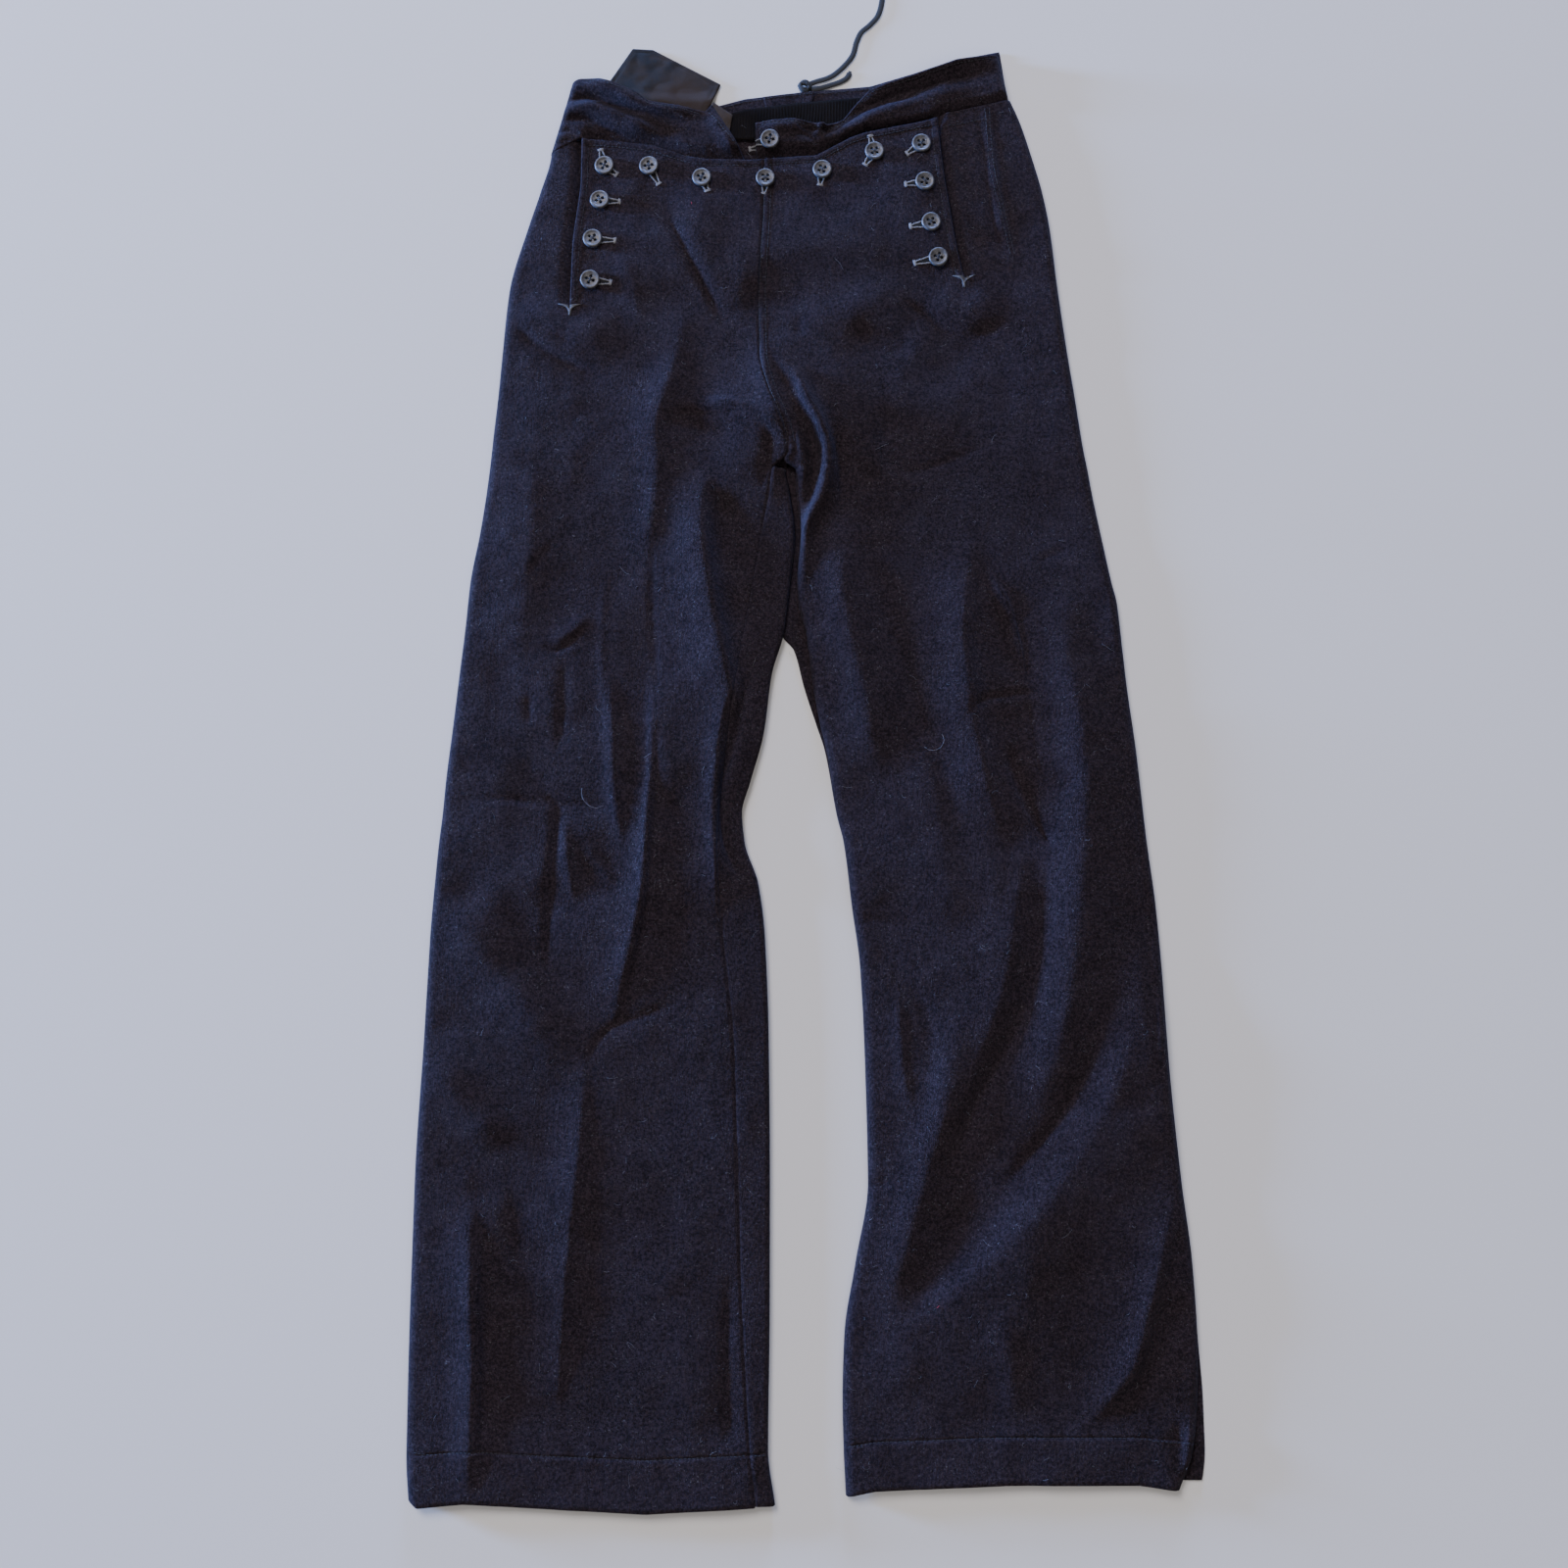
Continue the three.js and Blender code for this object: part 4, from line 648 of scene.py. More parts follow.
HEM_STITCH = 31.0
EDGE_STITCH = 4.6
CENTRE_STITCH = 5.6
OPEN_BELOW = 8.0
FIRST_ROW = -3
BELOW_STITCHES = 5
ABOVE_STITCHES = 6
STITCH_REACH = 3.6
BODY_END = TOP_Y - 9
TOP_REACH = 8
HEM_LINES = 11
STITCH_LINES = 9
CROTCH_LINES = 6
TOP_LINES = 8
TOP_ROUNDS = 4


def leg_rows():
    """Heights of the mesh lines, closer together at the sewn hem and the top edge."""
    hem = np.linspace(FIRST_ROW, HEM_STITCH - BELOW_STITCHES, HEM_LINES)
    stitched = np.linspace(HEM_STITCH - STITCH_REACH, HEM_STITCH + STITCH_REACH, STITCH_LINES)
    leg = np.linspace(HEM_STITCH + ABOVE_STITCHES, INSEAM_TOP, int((INSEAM_TOP - HEM_STITCH) / GRAIN))
    crotch = np.linspace(INSEAM_TOP, CROTCH_Y, CROTCH_LINES)[1:]
    body = np.linspace(CROTCH_Y, BODY_END, int((BODY_END - CROTCH_Y) / GRAIN))[1:]
    top = np.linspace(TOP_Y - TOP_REACH, TOP_Y, TOP_LINES)
    return np.concatenate([hem, stitched, leg, crotch, body, top])


ROWS = leg_rows()


def shifted(rows, hem, top):
    """Rows moved near their ends, so that each panel has its own hem and top edge."""
    low = 1 - np.clip((rows - ROWS[0]) / HEM_FADE, 0, 1)
    high = np.clip((rows - FALL_START) / (TOP_Y - FALL_START), 0, 1)
    return rows + (hem - ROWS[0]) * low + (top - TOP_Y) * high


def panel(lines, hem, top):
    """Places x and y of a panel's mesh: one line up the leg for each function of y."""
    x = np.zeros((len(ROWS), len(lines)))
    y = np.zeros_like(x)
    for j, line in enumerate(lines):
        end = TOP_Y
        for _ in range(TOP_ROUNDS):
            end = float(top(line(end)))
        y[:, j] = shifted(ROWS, float(hem(line(0.0))), end)
        x[:, j] = line(y[:, j])
    return x, y


def groove(distance, depth, width):
    return -depth * np.exp(-((distance / width) ** 2))


# Dents along stitches, as (depth, width), and the ease where a turned edge ends
STITCH_DENT = (0.45, 0.9)
TURNED_EASE = 0.6


def facing_edge(distance, width, lift):
    """A turned edge: a little thicker as far as its line of stitches, with a dent along it."""
    turned = lift * ease(width + TURNED_EASE, width - TURNED_EASE, distance)
    return turned + groove(distance - width, *STITCH_DENT)


def spaced(first, last, count):
    """Lines evenly spaced between two lines, without the two."""
    return [lambda y, t=i / count: mix(first(y), last(y), t) for i in range(1, count)]


def offset(line, distances):
    return [lambda y, d=d: line(y) + d for d in distances]


# Mesh lines beside an edge: round the turned side, beside the fall's openings, and beside the seams
ROUND = [HALF + ROLL * (1 - math.cos(math.radians(a))) for a in range(0, 91, 10)]
BESIDE_SLIT = [SLIT / 2 + d for d in (0, 0.5, 1.2, 2.2, 3.4, EDGE_STITCH, 5.8, 7.4, 9.4)]
BESIDE_SEAM = [SEAM_GAP / 2, 0.5, 1.0, 1.7, 2.6, 3.6, 4.6, CENTRE_STITCH, 6.6, 8.0, 10.0, 12.0]
BESIDE_INSEAM = (1.15, 1.6, 2.3, 3.2, 4.3, CENTRE_STITCH, 6.6, 8.0, 10.0, 12.0)

# Puckers along stitches: height, length of the waves, and how far they reach
Pucker = namedtuple("Pucker", "height length reach")
HEM_PUCKER = Pucker(0.22, 4.6, 9)
TOP_PUCKER = Pucker(0.14, 3.9, 5)
BAND_PUCKER = Pucker(0.16, 3.4, 3)
BAND_PUCKER_PLACE = 3


def puckered(kind, along, distance, phase=0.0):
    waves = kind.height * np.sin(along / kind.length + phase)
    return waves * np.exp(-((distance / kind.reach) ** 2))


HEM_DENT = (0.8, 0.8)
HEM_THICKER = 0.35
HEM_PUCKER_SIZE = 30
TOP_LIFT = 0.4


def hem_relief(rows, x, seed):
    """The turned-up hem: thicker below its stitches, and puckered along them."""
    from_line = rows - HEM_STITCH
    pucker = puckered(HEM_PUCKER, x, from_line, 2 * rumple(x, rows, HEM_PUCKER_SIZE, seed))
    return groove(from_line, *HEM_DENT) + HEM_THICKER * ease(1, -2, from_line) + pucker


def top_relief(rows, x):
    """The fall's faced top edge."""
    from_edge = TOP_Y - rows
    pucker = puckered(TOP_PUCKER, x, from_edge - EDGE_STITCH)
    return facing_edge(from_edge, EDGE_STITCH, TOP_LIFT) + pucker


# The fall's openings. Each dip is (depth, width), and the ridge is (height, place, width).
SLIT_EASE = 4
FLAP_EASE = 30
RIGHT_SLIT_DIP = (3.8, 4.2)
LEFT_SLIT_DIP = (3.8, 3.6)
LEFT_SLIT_RIDGE = (1.2, 7.6, 2.0)
RIGHT_FACING_LIFT = 0.7
LEFT_FACING_LIFT = 0.8

# Seams: each dip is (depth, width)
INSEAM_DIP = (0.9, 0.8)
CENTRE_DIP = (1.2, 0.9)
CENTRE_STITCH_DIP = (0.5, 0.9)
CENTRE_LAP = 0.3
CENTRE_LAP_EASE = 0.8
INSEAM_EASE = 30

# Mesh lines between the edges, and seeds of the hems' puckers
RIGHT_SIDE_LINES = 15
RIGHT_FRONT_LINES = 54
LEFT_FRONT_LINES = 50
LEFT_SIDE_LINES = 21
RIGHT_HEM_SEED = 21
LEFT_HEM_SEED = 22
STRIP_HEM_SEED = 23

# How far from its inner edge the left front moves over to the seam at the crotch
MOVED_WHOLE = 13
MOVED_NONE = 48


def fall_relief(rows, x, y, flap, slit, slit_end, beside, facing_lift):
    """What an opening adds to the front: the flap's lift and faced edges, and a dip beside it."""
    open_part = ease(slit_end - SLIT_EASE, slit_end + SLIT_EASE, y)
    from_edge = np.abs(x - slit(y)) - SLIT / 2
    z = flap * FLAP_LIFT * ease(slit_end, slit_end + FLAP_EASE, y)
    z += (1 - flap) * open_part * beside(from_edge)
    z += flap * open_part * facing_edge(from_edge, EDGE_STITCH, facing_lift)
    return z + flap * open_part * top_relief(rows, x)


def front_kept(x, gap, slit_end):
    """Cells that are cloth: all but those in the opening, from a little below its foot."""
    kept = np.ones((x.shape[0] - 1, x.shape[1] - 1), bool)
    kept[ROWS[:-1] > slit_end - OPEN_BELOW, gap] = False
    return kept


def front_right_grid():
    lines = offset(right_outer, ROUND)
    to_slit = offset(right_slit, [-d for d in reversed(BESIDE_SLIT)])
    lines += spaced(lines[-1], to_slit[0], RIGHT_SIDE_LINES) + to_slit
    gap = len(lines) - 1
    from_slit = offset(right_slit, BESIDE_SLIT)
    to_seam = offset(right_seam, [-d for d in reversed(BESIDE_SEAM)])
    lines += from_slit + spaced(from_slit[-1], to_seam[0], RIGHT_FRONT_LINES) + to_seam
    x, y = panel(lines, right_hem, right_top)
    rows = np.repeat(ROWS[:, None], len(lines), axis=1)
    flap = np.zeros_like(x)
    flap[:, gap + 1 :] = 1.0
    beside = lambda distance: groove(distance, *RIGHT_SLIT_DIP)
    z = front_z(x, y)
    z += fall_relief(rows, x, y, flap, right_slit, RIGHT_SLIT_END, beside, RIGHT_FACING_LIFT)
    z += hem_relief(rows, x, RIGHT_HEM_SEED)
    z += groove(right_seam(y) - x, *INSEAM_DIP)
    z = rolled(z, x - right_outer(y))
    return np.dstack([x, y, z]), front_kept(x, gap, RIGHT_SLIT_END)


def front_left_grid():
    crotch = lambda y: ease(INSEAM_TOP, CROTCH_Y, y)
    inner = [lambda y: left_leg_inner(y) + mix(HALF, SEAM_GAP / 2, crotch(y))]
    inner += offset(left_leg_inner, BESIDE_INSEAM)
    to_slit = offset(left_slit, [-d for d in reversed(BESIDE_SLIT)])
    lines = inner + spaced(inner[-1], to_slit[0], LEFT_FRONT_LINES) + to_slit
    gap = len(lines) - 1
    from_slit = offset(left_slit, BESIDE_SLIT)
    to_outer = offset(left_outer, [-d for d in reversed(ROUND)])
    lines += from_slit + spaced(from_slit[-1], to_outer[0], LEFT_SIDE_LINES) + to_outer
    x, y = panel(lines, left_hem, left_top)
    moved = left_inner(y) - left_leg_inner(y)
    x += moved * ease(MOVED_NONE, MOVED_WHOLE, x - left_leg_inner(y))
    rows = np.repeat(ROWS[:, None], len(lines), axis=1)
    flap = np.zeros_like(x)
    flap[:, : gap + 1] = 1.0
    ridge, ridge_place, ridge_width = LEFT_SLIT_RIDGE
    beside = lambda distance: (groove(distance, *LEFT_SLIT_DIP)
                               - groove(distance - ridge_place, ridge, ridge_width))
    z = front_z(x, y)
    z += fall_relief(rows, x, y, flap, left_slit, LEFT_SLIT_END, beside, LEFT_FACING_LIFT)
    z += hem_relief(rows, x, LEFT_HEM_SEED)
    from_seam = x - left_inner(y)
    lapped = CENTRE_LAP * ease(CENTRE_STITCH + CENTRE_LAP_EASE, CENTRE_STITCH - CENTRE_LAP_EASE, from_seam)
    seam = groove(from_seam, *CENTRE_DIP) + lapped + groove(from_seam - CENTRE_STITCH, *CENTRE_STITCH_DIP)
    z += crotch(y) * seam
    z = rolled(z, left_outer(y) - x)
    above_inseam = ease(CROTCH_Y - INSEAM_EASE, CROTCH_Y, y)
    z = np.where(rows > CROTCH_Y, z, mix(rolled(z, from_seam), z, above_inseam))
    return np.dstack([x, y, z]), front_kept(x, gap, LEFT_SLIT_END)


# The right back: lines on its flat part, round the turn, and across the strip that comes over
BACK_INSETS = (HALF * 0.6, 1.6, 4, 8, 30, 60, 90, 120)
LAST_INSET = 20
TURN_LINES = 11
STRIP_SHARES = (0.06, 0.13, 0.2, 0.28, 0.36, 0.44, 0.52, 0.6, 0.68, 0.76, 0.83, 0.89, 0.94, 0.975, 1.0)
STRIP_RISE = 0.8
STRIP_LOWER = 3
STRIP_HIDDEN_X = -10.0


def back_right_grid():
    """Flat on the surface, then turned up and over at the inner edge of the leg to the inseam."""
    in_leg = ROWS <= INSEAM_TOP
    turn_x = np.where(in_leg, right_inner(ROWS) - HALF - INSEAM_ROLL, CENTRE_BACK - SEAM_GAP / 2)
    flat = []
    for inset in BACK_INSETS:
        top = float(back_top(right_outer(TOP_Y) + inset)) - SEAM_GAP
        y = shifted(ROWS, RIGHT_BACK_HEM, top)
        flat.append(np.column_stack([right_outer(y) + inset, y, np.full_like(y, BACK_Z)]))
    y = shifted(ROWS, RIGHT_BACK_HEM, float(back_top(CENTRE_BACK)) - SEAM_GAP)
    flat.append(np.column_stack([turn_x - LAST_INSET, y, np.full_like(y, BACK_Z)]))
    flat.append(np.column_stack([turn_x, y, np.full_like(y, BACK_Z)]))
    y = shifted(ROWS, RIGHT_BACK_HEM - STRIP_LOWER, TOP_Y)
    turn = []
    for angle in np.linspace(0, math.pi, TURN_LINES)[1:]:
        x = turn_x + INSEAM_ROLL * math.sin(angle)
        z = BACK_Z + INSEAM_ROLL * (1 - math.cos(angle))
        turn.append(np.column_stack([x, y, np.full_like(y, z)]))
    seam_x = np.where(in_leg, right_seam(ROWS), STRIP_HIDDEN_X) + SEAM_GAP / 2
    strip = []
    for t in STRIP_SHARES:
        x = mix(turn_x, seam_x, t)
        z = mix(BACK_Z + 2 * INSEAM_ROLL, front_z(x, y), float(ease(0, STRIP_RISE, t)))
        z = z + groove(x - seam_x, *INSEAM_DIP) + hem_relief(ROWS, x, STRIP_HEM_SEED)
        strip.append(np.column_stack([x, y, z]))
    grid = np.stack(flat + turn + strip, axis=1)
    kept = np.ones((grid.shape[0] - 1, grid.shape[1] - 1), bool)
    kept[ROWS[1:] > INSEAM_TOP, len(flat) - 1 :] = False
    return grid, kept


BACK_INNER_INSETS = (0.0, 1.2, 3, 7, 12, 24)
BACK_OUTER_INSETS = (-90, -60, -32, -12, -4, -1.2, 0)
BACK_MIDDLE_LINES = 6


def back_left_grid():
    """Flat on the surface. It shows past the front at the inner thigh and at the hem's corner."""
    lines = offset(left_back_inner, BACK_INNER_INSETS)
    outer = offset(left_back_outer, BACK_OUTER_INSETS)
    lines += spaced(lines[-1], outer[0], BACK_MIDDLE_LINES) + outer
    x, y = panel(lines, lambda x: LEFT_BACK_HEM, back_top)
    return np.dstack([x, y, np.full_like(x, BACK_Z)])


# Waistbands

RIGHT_BAND = {"low_side": -183.5, "low_slit": -160, "low_front": -25, "top_side": -168, "top_front": -57}
LEFT_BAND = {"low_front": -21, "low_slit": 122.2, "low_side": 178, "top_front": -22, "top_side": 171}
BACK_BAND = {"right_low": -183.5, "right_top": -168.5, "left_low": 178, "left_top": 172}
NOTCH_LOW = 0.6
NOTCH_TOP = 12.0
BAND_STEP = 6.6
BAND_GAP = 0.6

# Share of the band's columns up to the end of the fall's top edge
RIGHT_BEND = 3 / 22
LEFT_BEND = 17 / 24


def band_grid(columns, rows, low_x, top_x, low_y, top_y, height):
    t = np.linspace(0, 1, columns + 1)[None, :]
    v = np.linspace(0, 1, rows + 1)[:, None]
    x = mix(low_x(t), top_x(t), v)
    y = mix(low_y(low_x(t)), top_y(top_x(t)), v)
    return np.dstack([x, y, height(x, y, v)])


def bent(a, b, c, bend):
    return lambda t: np.where(t < bend, mix(a, b, t / bend), mix(b, c, (t - bend) / (1 - bend)))


# How the band rises over the fall's top edge: over a longer way on the right than on the left
RISE_START = 2.6
RISE_END = 14
RISE_SHORTER = 6
RISE_CHANGE = (30, 75)
LEAST_BAND_LIFT = 0.4

# The dip along the left band's foot, as place, depth and width, and where it starts
FOOT_DIP = (0.6, 2.6, 1.7)
FOOT_DIP_START = (60, 85)
LEAST_BEARER_LIFT = -0.2
LEAST_FOOT_LIFT = 1

# Stitched edges of the band: place of the dent, its depth and its width
TOP_DENT = (2.6, 0.5, 0.9)
END_DENT = (3, 0.4, 0.9)
BAND_EDGE_EASE = (3, 8)
BAND_ROWS = 34
RIGHT_BAND_COLUMNS = 110
LEFT_BAND_COLUMNS = 120
BACK_BAND_SIZE = (60, 14)


def dent(distance, shape):
    place, depth, width = shape
    return groove(distance - place, depth, width)


def band_z(x, y, fall_top, beside):
    low = mix(BEARER_Z, FALL_Z, beside)
    rise_end = RISE_END - RISE_SHORTER * ease(*RISE_CHANGE, x)
    rise = ease(RISE_START, rise_end, y - fall_top)
    high = BAND_Z + fold_height(BAND_FOLDS, x, y) + unevenness(x, y, BAND_UNEVEN)
    z = mix(low, high, rise)
    z = np.maximum(z, mix(low, LEAST_FALL_Z + LEAST_BAND_LIFT, rise))
    sunk = z + ease(*FOOT_DIP_START, x) * dent(y - fall_top, FOOT_DIP)
    return np.maximum(sunk, mix(BEARER_Z + LEAST_BEARER_LIFT, LEAST_Z + LEAST_FOOT_LIFT, beside))


def band_relief(from_top, from_end, x):
    """Stitched upper edge and front end of a waistband."""
    pucker = puckered(BAND_PUCKER, x, from_top - BAND_PUCKER_PLACE)
    return dent(from_top, TOP_DENT) + dent(from_end, END_DENT) + pucker


def waistband_right_grid():
    b = RIGHT_BAND
    beside = lambda x: ease(b["low_slit"] + BAND_STEP, b["low_slit"], x)
    low_y = lambda x: right_top(x) + mix(-UNDERLAP, BAND_GAP, beside(x))

    def height(x, y, v):
        z = band_z(x, y, right_top(x), beside(x))
        from_end = mix(b["low_front"], b["top_front"], v) - x
        relief = band_relief(right_band_top(x) - y, from_end, x)
        z = z + relief * ease(*BAND_EDGE_EASE, y - right_top(x))
        return rolled(z, x - mix(b["low_side"], b["top_side"], v) + HALF)

    low_x = bent(b["low_side"], b["low_slit"], b["low_front"], RIGHT_BEND)
    top_x = lambda t: mix(b["top_side"], b["top_front"], t)
    return band_grid(RIGHT_BAND_COLUMNS, BAND_ROWS, low_x, top_x, low_y, right_band_top, height)


def waistband_left_grid():
    b = LEFT_BAND
    beside = lambda x: ease(b["low_slit"] - BAND_STEP, b["low_slit"], x)
    low_y = lambda x: left_top(x) + mix(-UNDERLAP, BAND_GAP, beside(x))

    def height(x, y, v):
        z = band_z(x, y, left_top(x), beside(x))
        from_end = x - mix(b["low_front"], b["top_front"], v)
        relief = band_relief(left_band_top(x) - y, from_end, x)
        z = z + relief * ease(*BAND_EDGE_EASE, y - left_top(x))
        return rolled(z, mix(b["low_side"], b["top_side"], v) - x + HALF)

    low_x = bent(b["low_front"], b["low_slit"], b["low_side"], LEFT_BEND)
    top_x = lambda t: mix(b["top_front"], b["top_side"], t)
    return band_grid(LEFT_BAND_COLUMNS, BAND_ROWS, low_x, top_x, low_y, left_band_top, height)


def back_band_grid(low_x, top_x):
    height = lambda x, y, v: np.full_like(x, BACK_Z)
    return band_grid(*BACK_BAND_SIZE, low_x, top_x, back_top, back_band_top, height)


# Linings

FACING = {"start": -50, "end": 72, "low": 1018, "above_fall": 16, "inset": 10.5, "z": 3.9}
RIB = {"pitch": 2.4, "height": 0.22, "waver": 0.5, "size": 12, "seed": 41, "ease": 0.15}
GUSSET = {"low": 1012, "low_half": 12, "top_half": 20, "inset": 0.6, "z": 2.6}
LINING_CORNERS = [(-66, 1034), (-44, 1020), (-41, 1038), (-56, 1049)]
LINING_Z = 5.2

# The pocket bag's edge at the waist and its far edge, and its height on the band and beyond it
BAG_NEAR = [(-150, 1052), (-66, 1031)]
BAG_FAR = [(-121, 1098), (-105, 1097), (-51, 1067)]
BAG_BAND_Z = 3.1
BAG_FAR_Z = 1.0
BAG_DROP = (3, 14)
BAG_WIDTH = 75
BAG_LENGTH = 50
BAG_FOLD = {"height": 0.5, "size": 16, "seed": 51}
BAG_CRUMPLE = {"height": 0.22, "size": 7, "seed": 53}
BAG_SEAM = (3, 0.25, 0.9)
BAG_CLEARANCE = 0.05


def unit_grid(columns, rows):
    """Shares across and along a piece, as a row and a column of numbers."""
    return np.linspace(0, 1, columns)[None, :], np.linspace(0, 1, rows)[:, None]


def facing_grid():
    """Facing inside the back waistband, ribbed across."""
    u, v = unit_grid(321, 15)
    x = mix(FACING["start"], FACING["end"], u) + 0 * v
    low = np.maximum(FACING["low"], left_top(x) + FACING["above_fall"])
    y = mix(low, back_band_top(x) - FACING["inset"], v)
    wavered = x + RIB["waver"] * rumple(x, y, RIB["size"], RIB["seed"])
    ribs = RIB["height"] * np.sin(2 * math.pi * wavered / RIB["pitch"])
    faded = ribs * ease(0.0, RIB["ease"], v) * ease(1.0, 0.8, v)
    return np.dstack([x, y, FACING["z"] + faded + unevenness(x, y, FACING_UNEVEN)])


def gusset_grid():
    """Gusset behind the lacing gap, its top edge level with the band on both sides."""
    u, v = unit_grid(41, 41)
    half = mix(GUSSET["low_half"], GUSSET["top_half"], v)
    x = CENTRE_BACK + mix(-half, half, u)
    y = mix(GUSSET["low"], back_band_top(x) - GUSSET["inset"], v)
    return np.dstack([x, y, GUSSET["z"] + unevenness(x, y, GUSSET_UNEVEN)])


def lining_grid():
    (ax, ay), (bx, by), (cx, cy), (dx, dy) = LINING_CORNERS
    u, v = unit_grid(25, 17)
    x = mix(mix(ax, bx, u), mix(dx, cx, u), v)
    y = mix(mix(ay, by, u), mix(dy, cy, u), v)
    return np.dstack([x, y, LINING_Z + unevenness(x, y, LINING_UNEVEN)])


def pocket_bag_grid():
    """Pocket bag turned up over the waist: it leaves the band and drops to the surface."""
    u, v = unit_grid(81, 61)
    far_x = mix(BAG_FAR[0][0], BAG_FAR[2][0], u)
    x = mix(mix(BAG_NEAR[0][0], BAG_NEAR[1][0], u), far_x, v)
    y = mix(mix(BAG_NEAR[0][1], BAG_NEAR[1][1], u), edge(BAG_FAR)(far_x), v)
    beyond = y - back_band_top(x)
    folds = BAG_FOLD["height"] * np.abs(rumple(x, y, BAG_FOLD["size"], BAG_FOLD["seed"]))
    crumple = BAG_CRUMPLE["height"] * rumple(x, y, BAG_CRUMPLE["size"], BAG_CRUMPLE["seed"])
    from_side = np.minimum(np.minimum(u, 1 - u) * BAG_WIDTH, (1 - v) * BAG_LENGTH)
    z = mix(BAG_BAND_Z, BAG_FAR_Z, ease(*BAG_DROP, beyond))
    z = z + (folds + crumple) * ease(0, BAG_SEAM[0], from_side) + dent(from_side, BAG_SEAM)
    return np.dstack([x, y, np.maximum(z, BAG_CLOTH / 2 + BAG_CLEARANCE)])


# Materials

def group_tree(name, outputs, inputs=()):
    """A shader node group with named sockets, as (tree, its input node, its output node)."""
    tree = bpy.data.node_groups.new(name, "ShaderNodeTree")
    for label, kind, value in inputs:
        socket = tree.interface.new_socket(name=label, in_out="INPUT", socket_type=kind)
        socket.default_value = value
    for label, kind in outputs:
        tree.interface.new_socket(name=label, in_out="OUTPUT", socket_type=kind)
    start = tree.nodes.new("NodeGroupInput")
    end = tree.nodes.new("NodeGroupOutput")
    return tree, start, end


def node(tree, kind, links=(), **values):
    """A node with its properties, inputs by name or number, and links into it."""
    made = tree.nodes.new(kind)
    for name, value in values.items():
        if hasattr(made, name):
            setattr(made, name, value)
    for key, source in links:
        if hasattr(source, "node"):
            tree.links.new(source, made.inputs[key])
        else:
            made.inputs[key].default_value = source
    return made


def maths(tree, operation, a, b):
    return node(tree, "ShaderNodeMath", [(0, a), (1, b)], operation=operation).outputs[0]


def blend_colours(tree, factor, first, second):
    made = node(tree, "ShaderNodeMix", data_type="RGBA")
    for key, source in ((0, factor), (6, first), (7, second)):
        if hasattr(source, "node"):
            tree.links.new(source, made.inputs[key])
        else:
            made.inputs[key].default_value = source
    return made.outputs[2]


def noise(tree, place, scale, detail, rough):
    return node(tree, "ShaderNodeTexNoise", [
        ("Vector", place), ("Scale", scale), ("Detail", detail), ("Roughness", rough),
    ]).outputs["Fac"]


def ramp(tree, value, low, high):
    return node(tree, "ShaderNodeMapRange", [("Value", value), ("From Min", low), ("From Max", high)],
                clamp=True).outputs["Result"]


def between(tree, value, limits):
    """A value from 0 to 1 brought between two limits."""
    made = node(tree, "ShaderNodeMapRange", [("Value", value), ("To Min", limits[0]), ("To Max", limits[1])])
    return made.outputs["Result"]


# Layers of the nap: scale, detail and roughness of the noise, and its values for none and for full
NAP_NOISE = {
    "fibres": (460, 4.0, 0.9),
    "clumps": (210, 3.0, 0.7),
    "patches": (9, 4.0, 0.6),
    "mottle": (70, 3.0, 0.6),
    "dust": (640, 2.0, 0.8),
}
NAP_RANGE = {"fibres": (0.43, 0.59), "patches": (0.32, 0.7), "mottle": (0.3, 0.75), "dust": (0.62, 0.71)}
NAP_HEIGHT = {"fibres": 0.5, "clumps": 0.7, "twill": 0.5}
NAP_ROUGHNESS = (0.98, 0.86)
TWILL_TURN = math.radians(52)
TWILL_SCALE = (1500, 260, 400)
TWILL_NOISE = (1.0, 2.0, 0.5)
PATCH_SHARE = 0.22
GRAIN_SHARE = 0.78
DUST_COLOUR = (0.2, 0.2, 0.22, 1)


def nap_group():
    """Milled wool: a felted mat of fibres over a faint twill, with worn and dusty patches."""
    tree, start, end = group_tree(
        "Wool nap",
        [("Colour", "NodeSocketColor"), ("Height", "NodeSocketFloat"), ("Roughness", "NodeSocketFloat")],
        [("Deep", "NodeSocketColor", (0.01, 0.011, 0.02, 1)),
         ("Light", "NodeSocketColor", (0.03, 0.035, 0.07, 1)), ("Dust", "NodeSocketFloat", 0.3)],
    )
    place = node(tree, "ShaderNodeTexCoord").outputs["Object"]
    layer = {name: noise(tree, place, *values) for name, values in NAP_NOISE.items()}
    share = {name: ramp(tree, layer[name], *limits) for name, limits in NAP_RANGE.items()}
    twill_place = node(tree, "ShaderNodeMapping", [
        ("Vector", place), ("Rotation", (0, 0, TWILL_TURN)), ("Scale", TWILL_SCALE),
    ]).outputs[0]
    layer["twill"] = noise(tree, twill_place, *TWILL_NOISE)
    dust = maths(tree, "MULTIPLY", share["mottle"], start.outputs["Dust"])
    dust = maths(tree, "MULTIPLY", share["dust"], dust)
    worn = maths(tree, "MULTIPLY", maths(tree, "ADD", share["patches"], share["mottle"]), 0.5)
    shade = maths(tree, "ADD", maths(tree, "MULTIPLY", worn, PATCH_SHARE),
                  maths(tree, "MULTIPLY", share["fibres"], GRAIN_SHARE))
    colour = blend_colours(tree, shade, start.outputs["Deep"], start.outputs["Light"])
    colour = blend_colours(tree, dust, colour, DUST_COLOUR)
    tree.links.new(colour, end.inputs["Colour"])
    felt = [maths(tree, "MULTIPLY", layer[name], height) for name, height in NAP_HEIGHT.items()]
    height = maths(tree, "ADD", maths(tree, "ADD", felt[0], felt[1]), felt[2])
    tree.links.new(height, end.inputs["Height"])
    tree.links.new(between(tree, share["mottle"], NAP_ROUGHNESS), end.inputs["Roughness"])
    return tree


